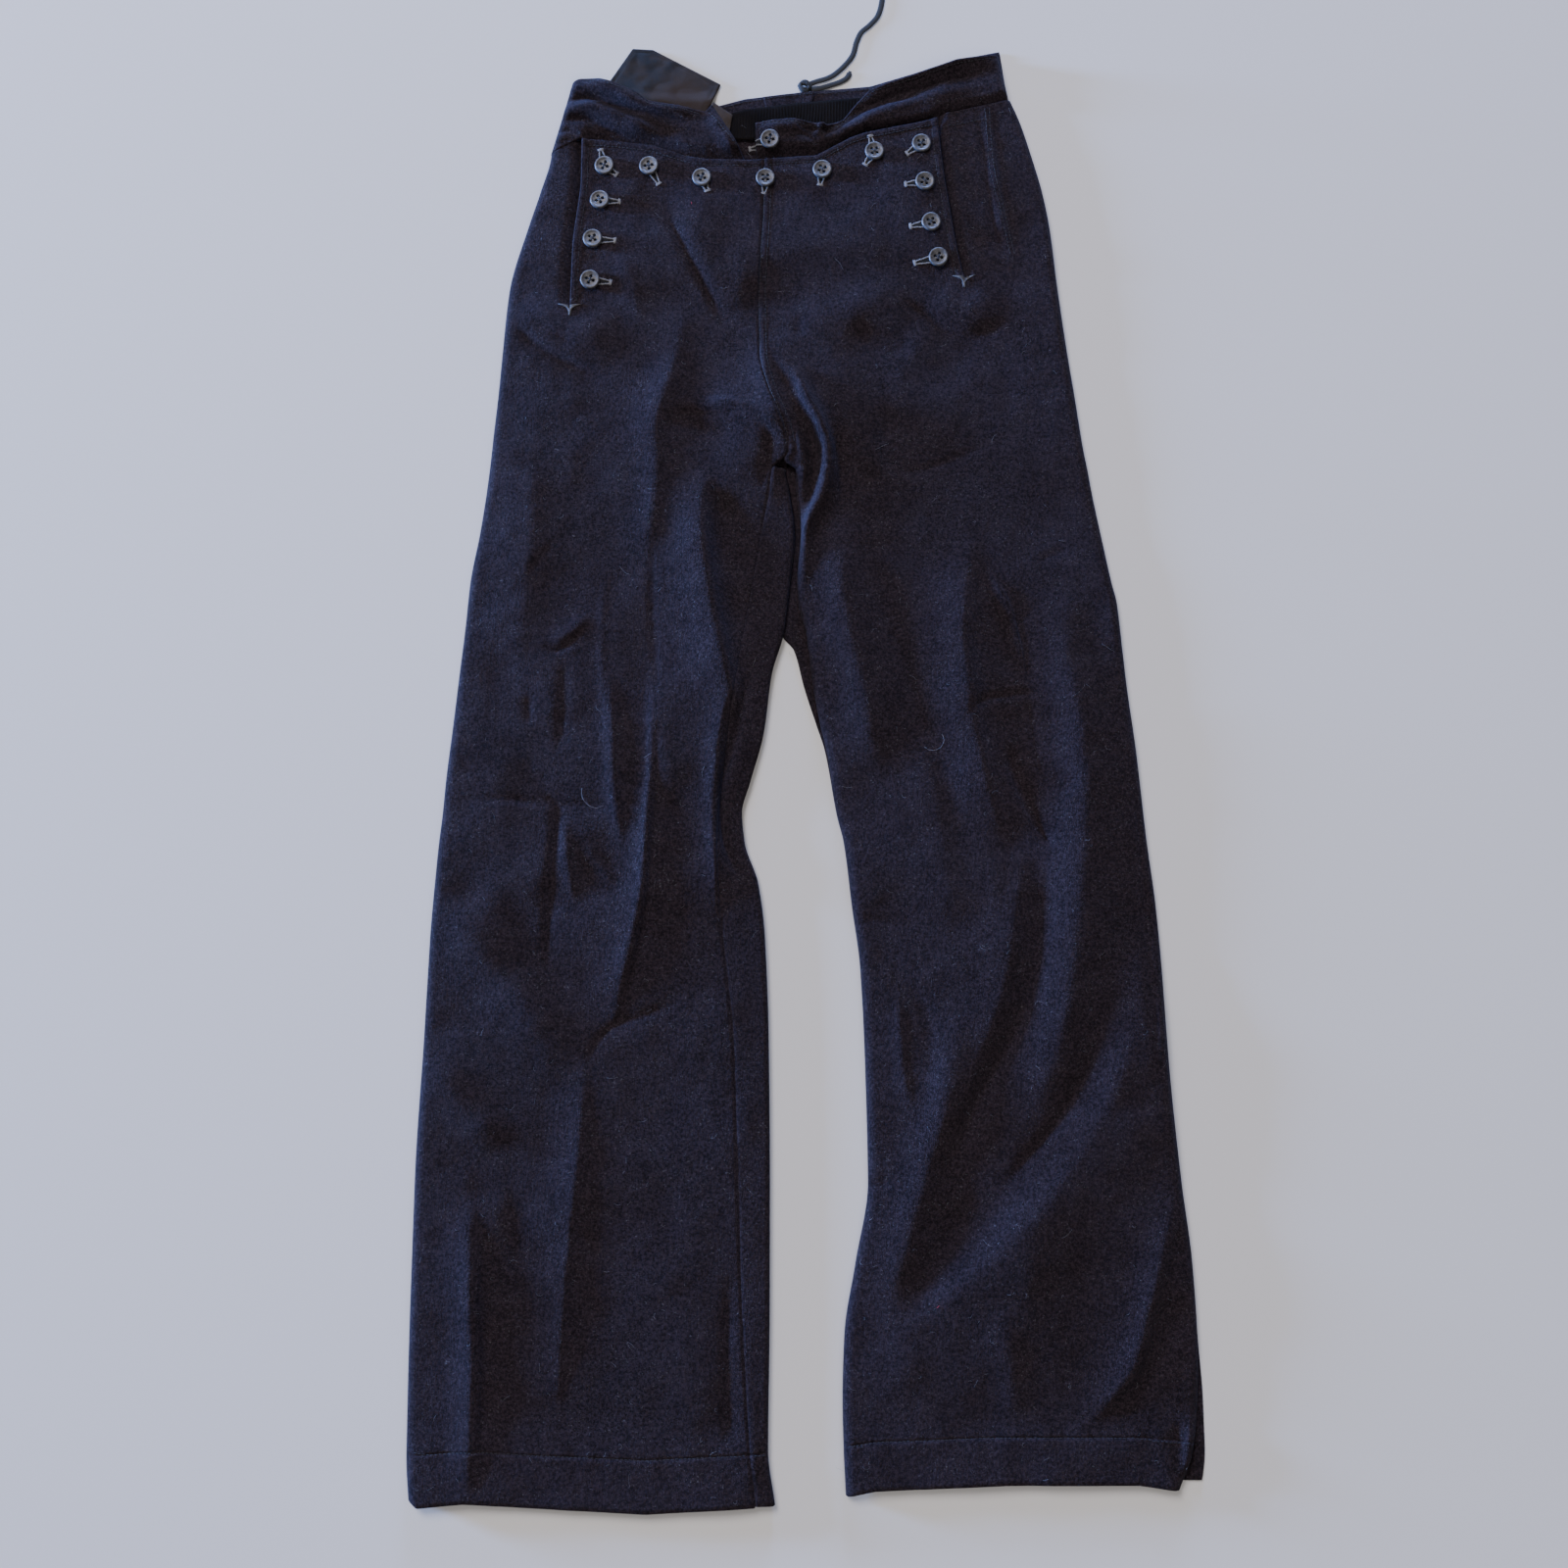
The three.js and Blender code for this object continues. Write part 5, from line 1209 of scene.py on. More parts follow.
# The weave: noise of its grime and of its finer fibres, which also paints fine shade, their shares, and the
# relief of both
GRIME_NOISE = (38, 5.0, 0.65)
GRIME_RANGE = (0.42, 0.68)
FIBRE_AND_SHADE_NOISE = (600, 3.0, 0.6)
SHADOW_SHARE = 0.55
SHADOW_COLOUR = (0.004, 0.004, 0.005, 1)
WEAVE_HEIGHT = 0.6
LINT_HEIGHT = 0.5
WAVE_DISTORTION = 1.2
WAVE_DETAIL = 1.0


def weave_group():
    """A plain weave from two crossing waves, with grime in soft patches and fine painted shade."""
    tree, start, end = group_tree(
        "Cotton weave",
        [("Colour", "NodeSocketColor"), ("Height", "NodeSocketFloat")],
        [("Thread", "NodeSocketColor", (0.1, 0.1, 0.1, 1)),
         ("Grime", "NodeSocketColor", (0.03, 0.02, 0.015, 1)),
         ("Threads", "NodeSocketFloat", 1500.0), ("Grime Share", "NodeSocketFloat", 0.5)],
    )
    place = node(tree, "ShaderNodeTexCoord").outputs["Object"]
    waves = []
    for direction in ("X", "Y"):
        waves.append(node(tree, "ShaderNodeTexWave", [
            ("Vector", place), ("Scale", start.outputs["Threads"]),
            ("Distortion", WAVE_DISTORTION), ("Detail", WAVE_DETAIL),
        ], bands_direction=direction).outputs["Fac"])
    weave = maths(tree, "MULTIPLY", waves[0], waves[1])
    patches = ramp(tree, noise(tree, place, *GRIME_NOISE), *GRIME_RANGE)
    grime = maths(tree, "MULTIPLY", patches, start.outputs["Grime Share"])
    fine = noise(tree, place, *FIBRE_AND_SHADE_NOISE)
    colour = blend_colours(tree, grime, start.outputs["Thread"], start.outputs["Grime"])
    # The finer noise darkens the threads towards a near-black: painted shade between them
    colour = blend_colours(tree, maths(tree, "MULTIPLY", fine, SHADOW_SHARE), colour, SHADOW_COLOUR)
    tree.links.new(colour, end.inputs["Colour"])
    height = maths(tree, "ADD", maths(tree, "MULTIPLY", weave, WEAVE_HEIGHT),
                   maths(tree, "MULTIPLY", fine, LINT_HEIGHT))
    tree.links.new(height, end.inputs["Height"])
    return tree


def new_material(name):
    """A material with a Principled shader, as (material, tree, shader)."""
    made = bpy.data.materials.new(name)
    made.use_nodes = True
    return made, made.node_tree, made.node_tree.nodes["Principled BSDF"]


def bumped(tree, shader, height, distance, strength=1.0):
    bump = node(tree, "ShaderNodeBump", [("Height", height), ("Strength", strength), ("Distance", distance)])
    tree.links.new(bump.outputs["Normal"], shader.inputs["Normal"])


def four(colour, factor=1.0):
    return (colour[0] * factor, colour[1] * factor, colour[2] * factor, 1.0)


SHEEN = 0.06
SHEEN_ROUGHNESS = 0.45
SHEEN_COLOUR = (0.35, 0.42, 0.75, 1)
WOOL_SPECULAR = 0.12


# A factor below 1 gives a darker copy of the wool with less sheen, which paints shade
def wool_material(name, nap, settings, factor=1.0):
    made, tree, shader = new_material(name)
    group = node(tree, "ShaderNodeGroup", node_tree=nap)
    group.inputs["Deep"].default_value = four(settings.wool_deep, factor)
    group.inputs["Light"].default_value = four(settings.wool_light, factor)
    group.inputs["Dust"].default_value = settings.dust
    tree.links.new(group.outputs["Colour"], shader.inputs["Base Color"])
    tree.links.new(group.outputs["Roughness"], shader.inputs["Roughness"])
    bumped(tree, shader, group.outputs["Height"], settings.nap_depth * MM)
    shader.inputs["Sheen Weight"].default_value = SHEEN * factor
    shader.inputs["Sheen Roughness"].default_value = SHEEN_ROUGHNESS
    shader.inputs["Sheen Tint"].default_value = SHEEN_COLOUR
    shader.inputs["Specular IOR Level"].default_value = WOOL_SPECULAR
    return made


Cotton = namedtuple("Cotton", "name thread grime threads grime_share depth rough specular")
FACING_COTTON = Cotton(
    "Ribbed facing", (0.009, 0.007, 0.006), (0.003, 0.0025, 0.002), 1300, 0.7, 0.12, 0.9, 0.05)
LINING_COTTON = Cotton(
    "Brown lining", (0.05, 0.034, 0.022), (0.014, 0.01, 0.007), 1500, 0.7, 0.1, 0.75, 0.2)
BAG_COTTON = Cotton("Grey sateen", None, (0.045, 0.03, 0.018), 1800, 0.75, 0.07, 0.7, 0.12)

# The stain on the pocket bag: its middle, as in the tables, and in metres how it fades
STAIN_PLACE = (-78, 1046, 4)
STAIN_COLOUR = (0.026, 0.017, 0.011, 1)
STAIN_RANGE = (0.004, 0.022)
STAIN_WAVER = 0.03
STAIN_NOISE = (120, 3.0, 0.6)


def stained(tree, colour):
    """The colour with the stain laid over it."""
    place = node(tree, "ShaderNodeTexCoord").outputs["Object"]
    middle = to_frame(STAIN_PLACE).tolist()
    away = node(tree, "ShaderNodeVectorMath", [(0, place), (1, middle)], operation="DISTANCE")
    spread = maths(tree, "MULTIPLY", noise(tree, place, *STAIN_NOISE), STAIN_WAVER)
    clear = ramp(tree, maths(tree, "SUBTRACT", away.outputs["Value"], spread), *STAIN_RANGE)
    return blend_colours(tree, clear, STAIN_COLOUR, colour)


def cotton_material(cotton, weave, has_stain=False):
    made, tree, shader = new_material(cotton.name)
    group = node(tree, "ShaderNodeGroup", node_tree=weave)
    group.inputs["Thread"].default_value = four(cotton.thread)
    group.inputs["Grime"].default_value = four(cotton.grime)
    group.inputs["Threads"].default_value = cotton.threads
    group.inputs["Grime Share"].default_value = cotton.grime_share
    colour = group.outputs["Colour"]
    if has_stain:
        colour = stained(tree, colour)
    tree.links.new(colour, shader.inputs["Base Color"])
    bumped(tree, shader, group.outputs["Height"], cotton.depth * MM)
    shader.inputs["Roughness"].default_value = cotton.rough
    shader.inputs["Specular IOR Level"].default_value = cotton.specular
    return made


WEAR_NOISE = (420, 4.0, 0.65)
WEAR_RANGE = (0.45, 0.7)
WEAR_SHARE = 0.5
WEAR_ROUGHNESS = (0.42, 0.6)
SCRATCH_NOISE = (900, 3.0, 0.6)
SCRATCH_DEPTH = 0.03
SCRATCH_STRENGTH = 0.6


def button_material(settings):
    """Moulded plastic: fine scratches and pale wear in patches."""
    made, tree, shader = new_material("Button plastic")
    place = node(tree, "ShaderNodeTexCoord").outputs["Object"]
    wear = ramp(tree, noise(tree, place, *WEAR_NOISE), *WEAR_RANGE)
    colour = blend_colours(tree, maths(tree, "MULTIPLY", wear, WEAR_SHARE), four(settings.button_colour),
                           four(settings.button_wear))
    tree.links.new(colour, shader.inputs["Base Color"])
    tree.links.new(between(tree, wear, WEAR_ROUGHNESS), shader.inputs["Roughness"])
    bumped(tree, shader, noise(tree, place, *SCRATCH_NOISE), SCRATCH_DEPTH * MM, SCRATCH_STRENGTH)
    return made


SHADE_NOISE = (300, 2.0, 0.6)
SHADE_DARK = 0.55
SHADE_LIGHT = 1.35
TWIST_NOISE = (2600, 2.0, 0.6)
TWIST_DEPTH = 0.08


def fibre_material(name, colour, rough=0.8):
    """Thread or fibre: darker and lighter along its length."""
    made, tree, shader = new_material(name)
    place = node(tree, "ShaderNodeTexCoord").outputs["Object"]
    shade = noise(tree, place, *SHADE_NOISE)
    varied = blend_colours(tree, shade, four(colour, SHADE_DARK), four(colour, SHADE_LIGHT))
    tree.links.new(varied, shader.inputs["Base Color"])
    bumped(tree, shader, noise(tree, place, *TWIST_NOISE), TWIST_DEPTH * MM)
    shader.inputs["Roughness"].default_value = rough
    return made


MATERIALS = {}
# The bearers under the fall get the wool darkened by this factor: painted shade
PAINTED_SHADE_FACTOR = 0.6


def make_materials(settings):
    nap, weave = nap_group(), weave_group()
    bag = BAG_COTTON._replace(thread=settings.bag_colour)
    MATERIALS["wool"] = wool_material("Navy wool", nap, settings)
    # Darker copy of the wool: painted shade for the bearers
    MATERIALS["inside wool"] = wool_material("Navy wool, painted shade", nap, settings, PAINTED_SHADE_FACTOR)
    MATERIALS["facing"] = cotton_material(FACING_COTTON, weave)
    MATERIALS["lining"] = cotton_material(LINING_COTTON, weave)
    MATERIALS["bag"] = cotton_material(bag, weave, has_stain=True)
    MATERIALS["button"] = button_material(settings)
    MATERIALS["braid"] = fibre_material("Lace braid", (0.006, 0.0075, 0.009))
    MATERIALS["sewing"] = fibre_material("Sewing thread", settings.sewing_colour, 0.7)
    MATERIALS["buttonhole"] = fibre_material("Buttonhole twist", settings.buttonhole_colour, 0.65)
    MATERIALS["tack"] = fibre_material("Tack silk", (0.05, 0.047, 0.046), 0.6)
    # Near-black tubes in the buttonholes' slots: painted shadow
    MATERIALS["hollow"] = fibre_material("Painted shadow in a buttonhole", (0.0015, 0.0015, 0.002), 1.0)
    MATERIALS["lint"] = fibre_material("Lint", settings.lint_colour, 0.9)
    MATERIALS["red lint"] = fibre_material("Red lint", (0.4, 0.03, 0.05), 0.9)


# Pieces: placing them, and finding the top of the cloth at a place

BODY = "root"
RAY_START = 100
CLOTHS = []
GROUND = {}


def placed(piece, node_name=None):
    """A piece that moves with the trousers and may stand for a node of the model."""
    if node_name:
        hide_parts(node_name)
    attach(piece, BODY)
    return piece


def cloth(node_name, material, grid, kept=None, half=HALF):
    """A sheet of cloth in place of a node."""
    piece = cloth_piece("cloth_" + node_name, grid, MATERIALS[material], kept, half)
    placed(piece, node_name)
    CLOTHS.append(piece)
    return piece


def ground():
    """The finished cloth, for finding the height at a place."""
    if "tree" not in GROUND:
        vertices, faces = [], []
        for piece in CLOTHS:
            first = len(vertices)
            vertices += [v.co[:] for v in piece.data.vertices]
            faces += [[first + i for i in face.vertices] for face in piece.data.polygons]
        GROUND["tree"] = BVHTree.FromPolygons(vertices, faces)
    return GROUND["tree"]


def on_cloth(x, y):
    """The point on top of the cloth at a place of the tables, in the frame, and the normal there."""
    start = Vector(to_frame((x, y, RAY_START)))
    point, normal, _, _ = ground().ray_cast(start, Vector((0, 0, -1)))
    if point is None:
        return Vector((start.x, start.y, 0.0)), Vector((0, 0, 1))
    return point, normal if normal.z > 0 else -normal


PLACES_ROUND = 8


def on_cloth_wide(x, y, radius):
    """As on_cloth, with the normal of a disc round the place and its highest point."""
    turns = np.arange(PLACES_ROUND) * 2 * math.pi / PLACES_ROUND
    around = [on_cloth(x + radius * math.cos(a), y + radius * math.sin(a))[0] for a in turns]
    middle = on_cloth(x, y)[0]
    normal = Vector((0, 0, 0))
    for k in range(PLACES_ROUND):
        normal += (around[k] - middle).cross(around[(k + 1) % PLACES_ROUND] - middle)
    normal.normalize()
    return middle, normal, max((p - middle).dot(normal) for p in around)


# A stitch is a grain: rings along it, as shares of its length and of its radius
GRAIN_RINGS = [(-0.5, 0.3), (-0.34, 0.82), (0.0, 1.0), (0.34, 0.82), (0.5, 0.3)]


def grains(name, places, material, sides=6):
    """Stitches as rice grains: each place is (centre, along, up, length, radius), in metres."""
    angles = np.arange(sides) * 2 * math.pi / sides
    unit = np.array([[a, r * math.cos(w), r * math.sin(w)] for a, r in GRAIN_RINGS for w in angles])
    faces = []
    for ring in range(len(GRAIN_RINGS) - 1):
        for k in range(sides):
            p, q = ring * sides + k, ring * sides + (k + 1) % sides
            faces.append([p, q, q + sides, p + sides])
    last = (len(GRAIN_RINGS) - 1) * sides
    faces.append(list(range(sides))[::-1])
    faces.append([last + k for k in range(sides)])
    vertices, all_faces = [], []
    for centre, along, up, length, radius in places:
        along = along.normalized()
        side = up.cross(along).normalized()
        top = along.cross(side)
        axes = np.array([along * length, side * radius, top * radius])
        vertices.append(unit @ axes + np.array(centre))
        first = len(unit) * (len(vertices) - 1)
        all_faces += [[first + i for i in face] for face in faces]
    return placed(new_object(name, np.vstack(vertices), all_faces, MATERIALS[material]))


def tube(points, radius, sides=8, flat=1.0, up=(0, 0, 1), relief=None):
    """Vertices and faces of a closed tube along points, in metres. flat is its height over its width,
    and relief(run, angle) adds to the radius."""
    points = np.asarray(points, float)
    radius = np.broadcast_to(np.asarray(radius, float), (len(points),))
    tangents = np.gradient(points, axis=0)
    tangents /= np.maximum(np.linalg.norm(tangents, axis=1, keepdims=True), 1e-12)
    run = np.concatenate([[0], np.cumsum(np.linalg.norm(np.diff(points, axis=0), axis=1))])
    angles = np.arange(sides) * 2 * math.pi / sides
    upward = np.array(up, float)
    vertices = []
    for k in range(len(points)):
        upward = upward - tangents[k] * upward.dot(tangents[k])
        upward /= max(np.linalg.norm(upward), 1e-9)
        side = np.cross(tangents[k], upward)
        reach = radius[k] + (relief(run[k], angles) if relief else 0.0)
        vertices.append(points[k] + np.outer(np.cos(angles) * reach, side)
                        + np.outer(np.sin(angles) * reach * flat, upward))
    faces = []
    for k in range(len(points) - 1):
        for j in range(sides):
            p, q = k * sides + j, k * sides + (j + 1) % sides
            faces.append([p, q, q + sides, p + sides])
    last = (len(points) - 1) * sides
    faces.append(list(range(sides))[::-1])
    faces.append([last + j for j in range(sides)])
    return np.vstack(vertices), faces


def joined(parts):
    """Several (vertices, faces) as one."""
    vertices, faces, first = [], [], 0
    for part_vertices, part_faces in parts:
        vertices.append(part_vertices)
        faces += [[first + i for i in face] for face in part_faces]
        first += len(part_vertices)
    return np.vstack(vertices), faces


# Stitches: how deep they sink in, how far they stray, their length as a share of the pitch, and
# the shares of the pitch between which each one is level
SINK = 0.12
STRAY = 0.12
STITCH_SHARE = 0.8
STITCH_SPREAD = (0.9, 1.08)
LEVEL_SHARES = (0.2, 0.8)


def seam_places(path, settings, jitter):
    """Stitches along a path of the tables, as places for grains."""
    length = path_length(path)
    count = max(2, int(length / settings.stitch_pitch))
    line = curve_points(path, count * 2 + 1)
    radius = settings.stitch_width / 2
    places = []
    for k in range(count):
        (x, y), (ax, ay), (bx, by) = line[2 * k + 1], line[2 * k], line[2 * k + 2]
        shift_x, shift_y = jitter.normal(0, STRAY, 2)
        start, end = (on_cloth(mix(ax, bx, t), mix(ay, by, t))[0] for t in LEVEL_SHARES)
        middle, normal = on_cloth(x + shift_x, y + shift_y)
        height = max(middle.z, (start.z + end.z) / 2) + (radius - SINK) * MM
        centre = Vector((middle.x, middle.y, height))
        long = settings.stitch_pitch * STITCH_SHARE * jitter.uniform(*STITCH_SPREAD)
        places.append((centre, end - start, normal, long * MM, radius * MM))
    return places


# Lines of sewing

ACROSS_STEPS = 24
ALONG_STEPS = 14
TOP_STEPS = 26
TOP_STITCH = 4.7
BAND_STITCH = 2.6


def hem_path(hem, start, end):
    y = lambda x: HEM_STITCH + (float(hem(x)) - ROWS[0]) * (1 - (HEM_STITCH - ROWS[0]) / HEM_FADE)
    return [(x, y(x)) for x in np.linspace(start, end, ACROSS_STEPS)]


def side_path(line, distance, low, high):
    return [(float(line(y)) + distance, y) for y in np.linspace(low, high, ALONG_STEPS)]


def top_path(top, start, end, below):
    return [(x, float(top(x)) - below) for x in np.linspace(start, end, TOP_STEPS)]


def sewing_lines():
    """Every visible line of machine stitches, as paths."""
    beside_slit = SLIT / 2 + EDGE_STITCH
    strip = [(159, 1042.7), (161.8, 990), (169.5, 953.5), (176.4, 918.3)]
    b, c = RIGHT_BAND, LEFT_BAND
    return [
        hem_path(right_hem, -256, -26),
        hem_path(right_hem, -21, -12),
        hem_path(left_hem, 44, 281),
        side_path(right_seam, 0.9, 770, 992),
        side_path(right_seam, CENTRE_STITCH, 764, 992),
        side_path(right_slit, beside_slit, RIGHT_SLIT_END + 2, 1008),
        side_path(left_slit, -beside_slit, LEFT_SLIT_END + 2, 1024),
        top_path(right_top, -154, -20, TOP_STITCH),
        top_path(left_top, -12, 116, TOP_STITCH),
        strip,
        [(x + 3.2, y + 0.5) for x, y in strip],
        [(123.8, 1025.9), (141, 1029.4), (158.8, 1033.5)],
        top_path(right_band_top, -160, -66, BAND_STITCH),
        top_path(left_band_top, -18, 165, BAND_STITCH),
        [(b["top_front"] - 2.5, 1037), (b["low_front"] - 12, 1008)],
        [(c["top_front"] + 3, 1025), (c["low_front"] + 3, 1006)],
        top_path(back_band_top, -48, 164, 2.4),
    ]


# Buttons

BUTTON_SIZE = 15.0
BUTTON_PROFILE = [
    (0, 0), (6.2, 0), (7.0, 0.25), (7.45, 0.8), (7.5, 1.5), (7.4, 2.2), (7.05, 2.65), (6.5, 2.8), (5.9, 2.7),
    (5.4, 2.42), (5.0, 2.25), (4.5, 2.16), (3.0, 2.1), (0, 2.05),
]
BUTTON_SIDES = 56
HOLE_RADIUS = 1.2
HOLE_OFFSET = 1.9
HOLE_SIDES = 16
DRILL_HEIGHTS = (-1, 4)


def lathed(profile, sides):
    """Vertices and faces turned round z. The profile starts and ends on the axis."""
    angles = np.arange(sides) * 2 * math.pi / sides
    vertices = [(0, 0, profile[0][1])]
    for radius, z in profile[1:-1]:
        vertices += [(radius * math.cos(a), radius * math.sin(a), z) for a in angles]
    vertices.append((0, 0, profile[-1][1]))
    faces = []
    rings = len(profile) - 2
    for k in range(sides):
        n = (k + 1) % sides
        faces.append([0, 1 + n, 1 + k])
        for ring in range(rings - 1):
            low, high = 1 + ring * sides, 1 + (ring + 1) * sides
            faces.append([low + k, low + n, high + n, high + k])
        last = 1 + (rings - 1) * sides
        faces.append([last + k, last + n, len(vertices) - 1])
    return np.array(vertices, float) * MM, faces


def button_mesh():
    """One turned button with four holes, at the origin."""
    body = new_object("button pattern", *lathed(BUTTON_PROFILE, BUTTON_SIDES), MATERIALS["button"])
    low, high = DRILL_HEIGHTS
    drills = []
    for sx, sy in ((1, 1), (-1, 1), (-1, -1), (1, -1)):
        vertices, faces = lathed([(0, low), (HOLE_RADIUS, low), (HOLE_RADIUS, high), (0, high)], HOLE_SIDES)
        vertices[:, 0] += sx * HOLE_OFFSET * MM
        vertices[:, 1] += sy * HOLE_OFFSET * MM
        drills.append((vertices, faces))
    drill = new_object("button drills", *joined(drills), MATERIALS["button"])
    cut = body.modifiers.new("holes", "BOOLEAN")
    cut.operation = "DIFFERENCE"
    cut.object = drill
    bpy.context.view_layer.update()
    mesh = bpy.data.meshes.new_from_object(body.evaluated_get(bpy.context.evaluated_depsgraph_get()))
    for each in (body, drill):
        bpy.data.objects.remove(each)
    return mesh


def button_nodes():
    """Button nodes with their places in the tables."""
    rows = [("button_top_%d" % (i + 1), place) for i, place in enumerate(TOP_ROW)]
    rows += [("button_right_%d" % (i + 1), place) for i, place in enumerate(RIGHT_ROW)]
    rows += [("button_left_%d" % (i + 1), place) for i, place in enumerate(LEFT_ROW)]
    return rows + [("button_band", BAND_BUTTON)]


# Buttonholes: the seen end of each, with its bar, and for some the other end
Hole = namedtuple("Hole", "button bar other")
HOLES = [
    Hole("button_top_1", (-131.5, 984.9), (-144.2, 1005.7)), Hole("button_top_2", (-98.3, 977.5), None),
    Hole("button_top_3", (-59.9, 970.9), None), Hole("button_top_4", (-15.4, 969.6), None),
    Hole("button_top_5", (28.4, 976.2), None), Hole("button_top_6", (63.9, 992.4), (67.9, 1016.6)),
    Hole("button_top_7", (96.7, 1001.6), None), Hole("button_right_1", (-128.8, 961.8), None),
    Hole("button_right_2", (-131.7, 928.9), None), Hole("button_right_3", (-134.6, 894.7), None),
    Hole("button_left_1", (95.2, 975), None), Hole("button_left_2", (98.6, 939.9), None),
    Hole("button_left_3", (101.8, 911), None), Hole("button_band", (-27, 1010.9), None),
]
PURL_PITCH = 0.62
PURL_LENGTHS = (1.1, 1.5)
PURL_RADIUS = 0.4
PURL_LIFT = 0.25
BUTTON_OVER = 0.62
OPEN_WIDTHS = (2.7, 1.0)
# A flat near-black tube lies in each open slot as painted shadow: its share of the opening, its lift and how
# flat it is
SLOT_SHADOW_SHARE = 0.85
SLOT_SHADOW_LIFT = 0.02
SLOT_SHADOW_FLAT = 0.25
BAR_ROWS = (-0.5, 0.1, 0.7)
BAR_LENGTHS = (4.8, 5.6)
BAR_RADIUS = 0.5
BAR_LIFT = 0.35
TACKS = [(-165.8, 872.8), (139.8, 896.3)]
TACK_THREADS = 13
TACK_STEPS = 9
TACK_RADIUS = 0.3


# Add-on

def colour_setting(name, text, default):
    return FloatVectorProperty(
        name=name, description=text, subtype="COLOR", size=3, min=0, max=1, default=default)


def number_setting(name, text, default, low=0):
    return FloatProperty(name=name, description=text, default=default, min=low)


class TrousersSettings(bpy.types.PropertyGroup):
    wool_deep: colour_setting("Wool, deep", "Darkest colour of the wool", (0.0030, 0.0020, 0.0028))
    wool_light: colour_setting("Wool, light", "Lightest colour of the wool", (0.0265, 0.0180, 0.0232))
    dust: number_setting("Dust", "Share of pale flecks in the nap, up to 1", 0.35)
    nap_depth: number_setting("Nap", "Depth of the felted nap in millimetres", 1.05)
    bag_colour: colour_setting("Pocket bag", "Thread of the sateen pocket bag", (0.0125, 0.0135, 0.0155))
    button_colour: colour_setting("Buttons", "Colour of the buttons", (0.034, 0.035, 0.04))
    button_wear: colour_setting("Button wear", "Colour of scratches and dust on them", (0.15, 0.15, 0.155))
    sewing_colour: colour_setting("Sewing thread", "Colour of the machine stitches", (0.008, 0.008, 0.012))
    buttonhole_colour: colour_setting("Buttonhole twist", "Colour of the buttonholes", (0.15, 0.15, 0.16))
    lint_colour: colour_setting("Lint", "Colour of the loose fibres", (0.2, 0.2, 0.22))
    stitch_pitch: number_setting("Stitch", "Pitch of the stitches in millimetres", 2.9, 1)
    stitch_width: number_setting("Thread", "Thread width in millimetres", 0.55, 0.1)
    lint_count: IntProperty(name="Fibres", description="Number of loose fibres", default=700, min=0)
    seed: IntProperty(name="Seed", description="Seed of the small irregular things", default=7)
    key_power: number_setting("Key light", "Power of the main light", 235)
    low_power: number_setting("Low light", "Power of the cool grazing light", 1600)
    fill_power: number_setting("Fill light", "Power of the warm light above", 60)


def settings_of(context):
    settings = context.scene.trousers
    if not MATERIALS:
        make_materials(settings)
    return settings


CAMERA_PLACE = (-0.01466, -0.2255, 1.150)
CAMERA_TILT = 9.0
LENS = 36
SENSOR = 36


class TROUSERS_OT_camera(bpy.types.Operator):
    """Put the camera where the photograph was taken from"""
    bl_idname = "trousers.camera"
    bl_label = "Camera"

    def execute(self, context):
        data = bpy.data.cameras.new("Camera")
        data.lens = LENS
        data.sensor_width = SENSOR
        camera = bpy.data.objects.new("Camera", data)
        camera.location = CAMERA_PLACE
        camera.rotation_euler = (math.radians(CAMERA_TILT), 0, 0)
        context.scene.collection.objects.link(camera)
        context.scene.camera = camera
        return {"FINISHED"}


def braid_relief(run, angles):
    """Plaited strands: two slanting sets that cross along the middle of the lace."""
    across = np.cos(angles)
    slant = np.abs(np.sin(math.pi * (run / (2.1 * MM) + 0.55 * np.abs(across))))
    return (0.16 * slant - 0.1 * np.exp(-((across / 0.16) ** 2))) * MM


# The knot's loops: half width, half length and turn. Each rises and falls about its height
KNOT_LOOPS = [(3.8, 4.2, 0.3), (3.6, 2.4, -0.7), (2.2, 4.4, 1.3)]
KNOT_HEIGHT = 2.1
KNOT_RISE = 0.55
KNOT_STEPS = 40
KNOT_RADIUS = 1.5
KNOT_FLAT = 0.8
KNOT_SIDES = 10
LACE_STEP = 0.35
LACE_SIDES = 22
ROUND_STEPS = 34


def knot_relief(run, angles):
    return 0.12 * MM * np.sin(run * 4500)


def knot_loop(size_x, size_y, turn, phase):
    angles = np.linspace(0, 2 * math.pi, KNOT_STEPS)
    along_x, along_y = size_x * np.cos(angles), size_y * np.sin(angles)
    x = KNOT[0] + along_x * math.cos(turn) - along_y * math.sin(turn)
    y = KNOT[1] + along_x * math.sin(turn) + along_y * math.cos(turn)
    z = KNOT_HEIGHT + KNOT_RISE * np.sin(angles * 2 + phase)
    loop = to_frame(np.column_stack([x, y, z]))
    return tube(loop, KNOT_RADIUS * MM, KNOT_SIDES, KNOT_FLAT, relief=knot_relief)


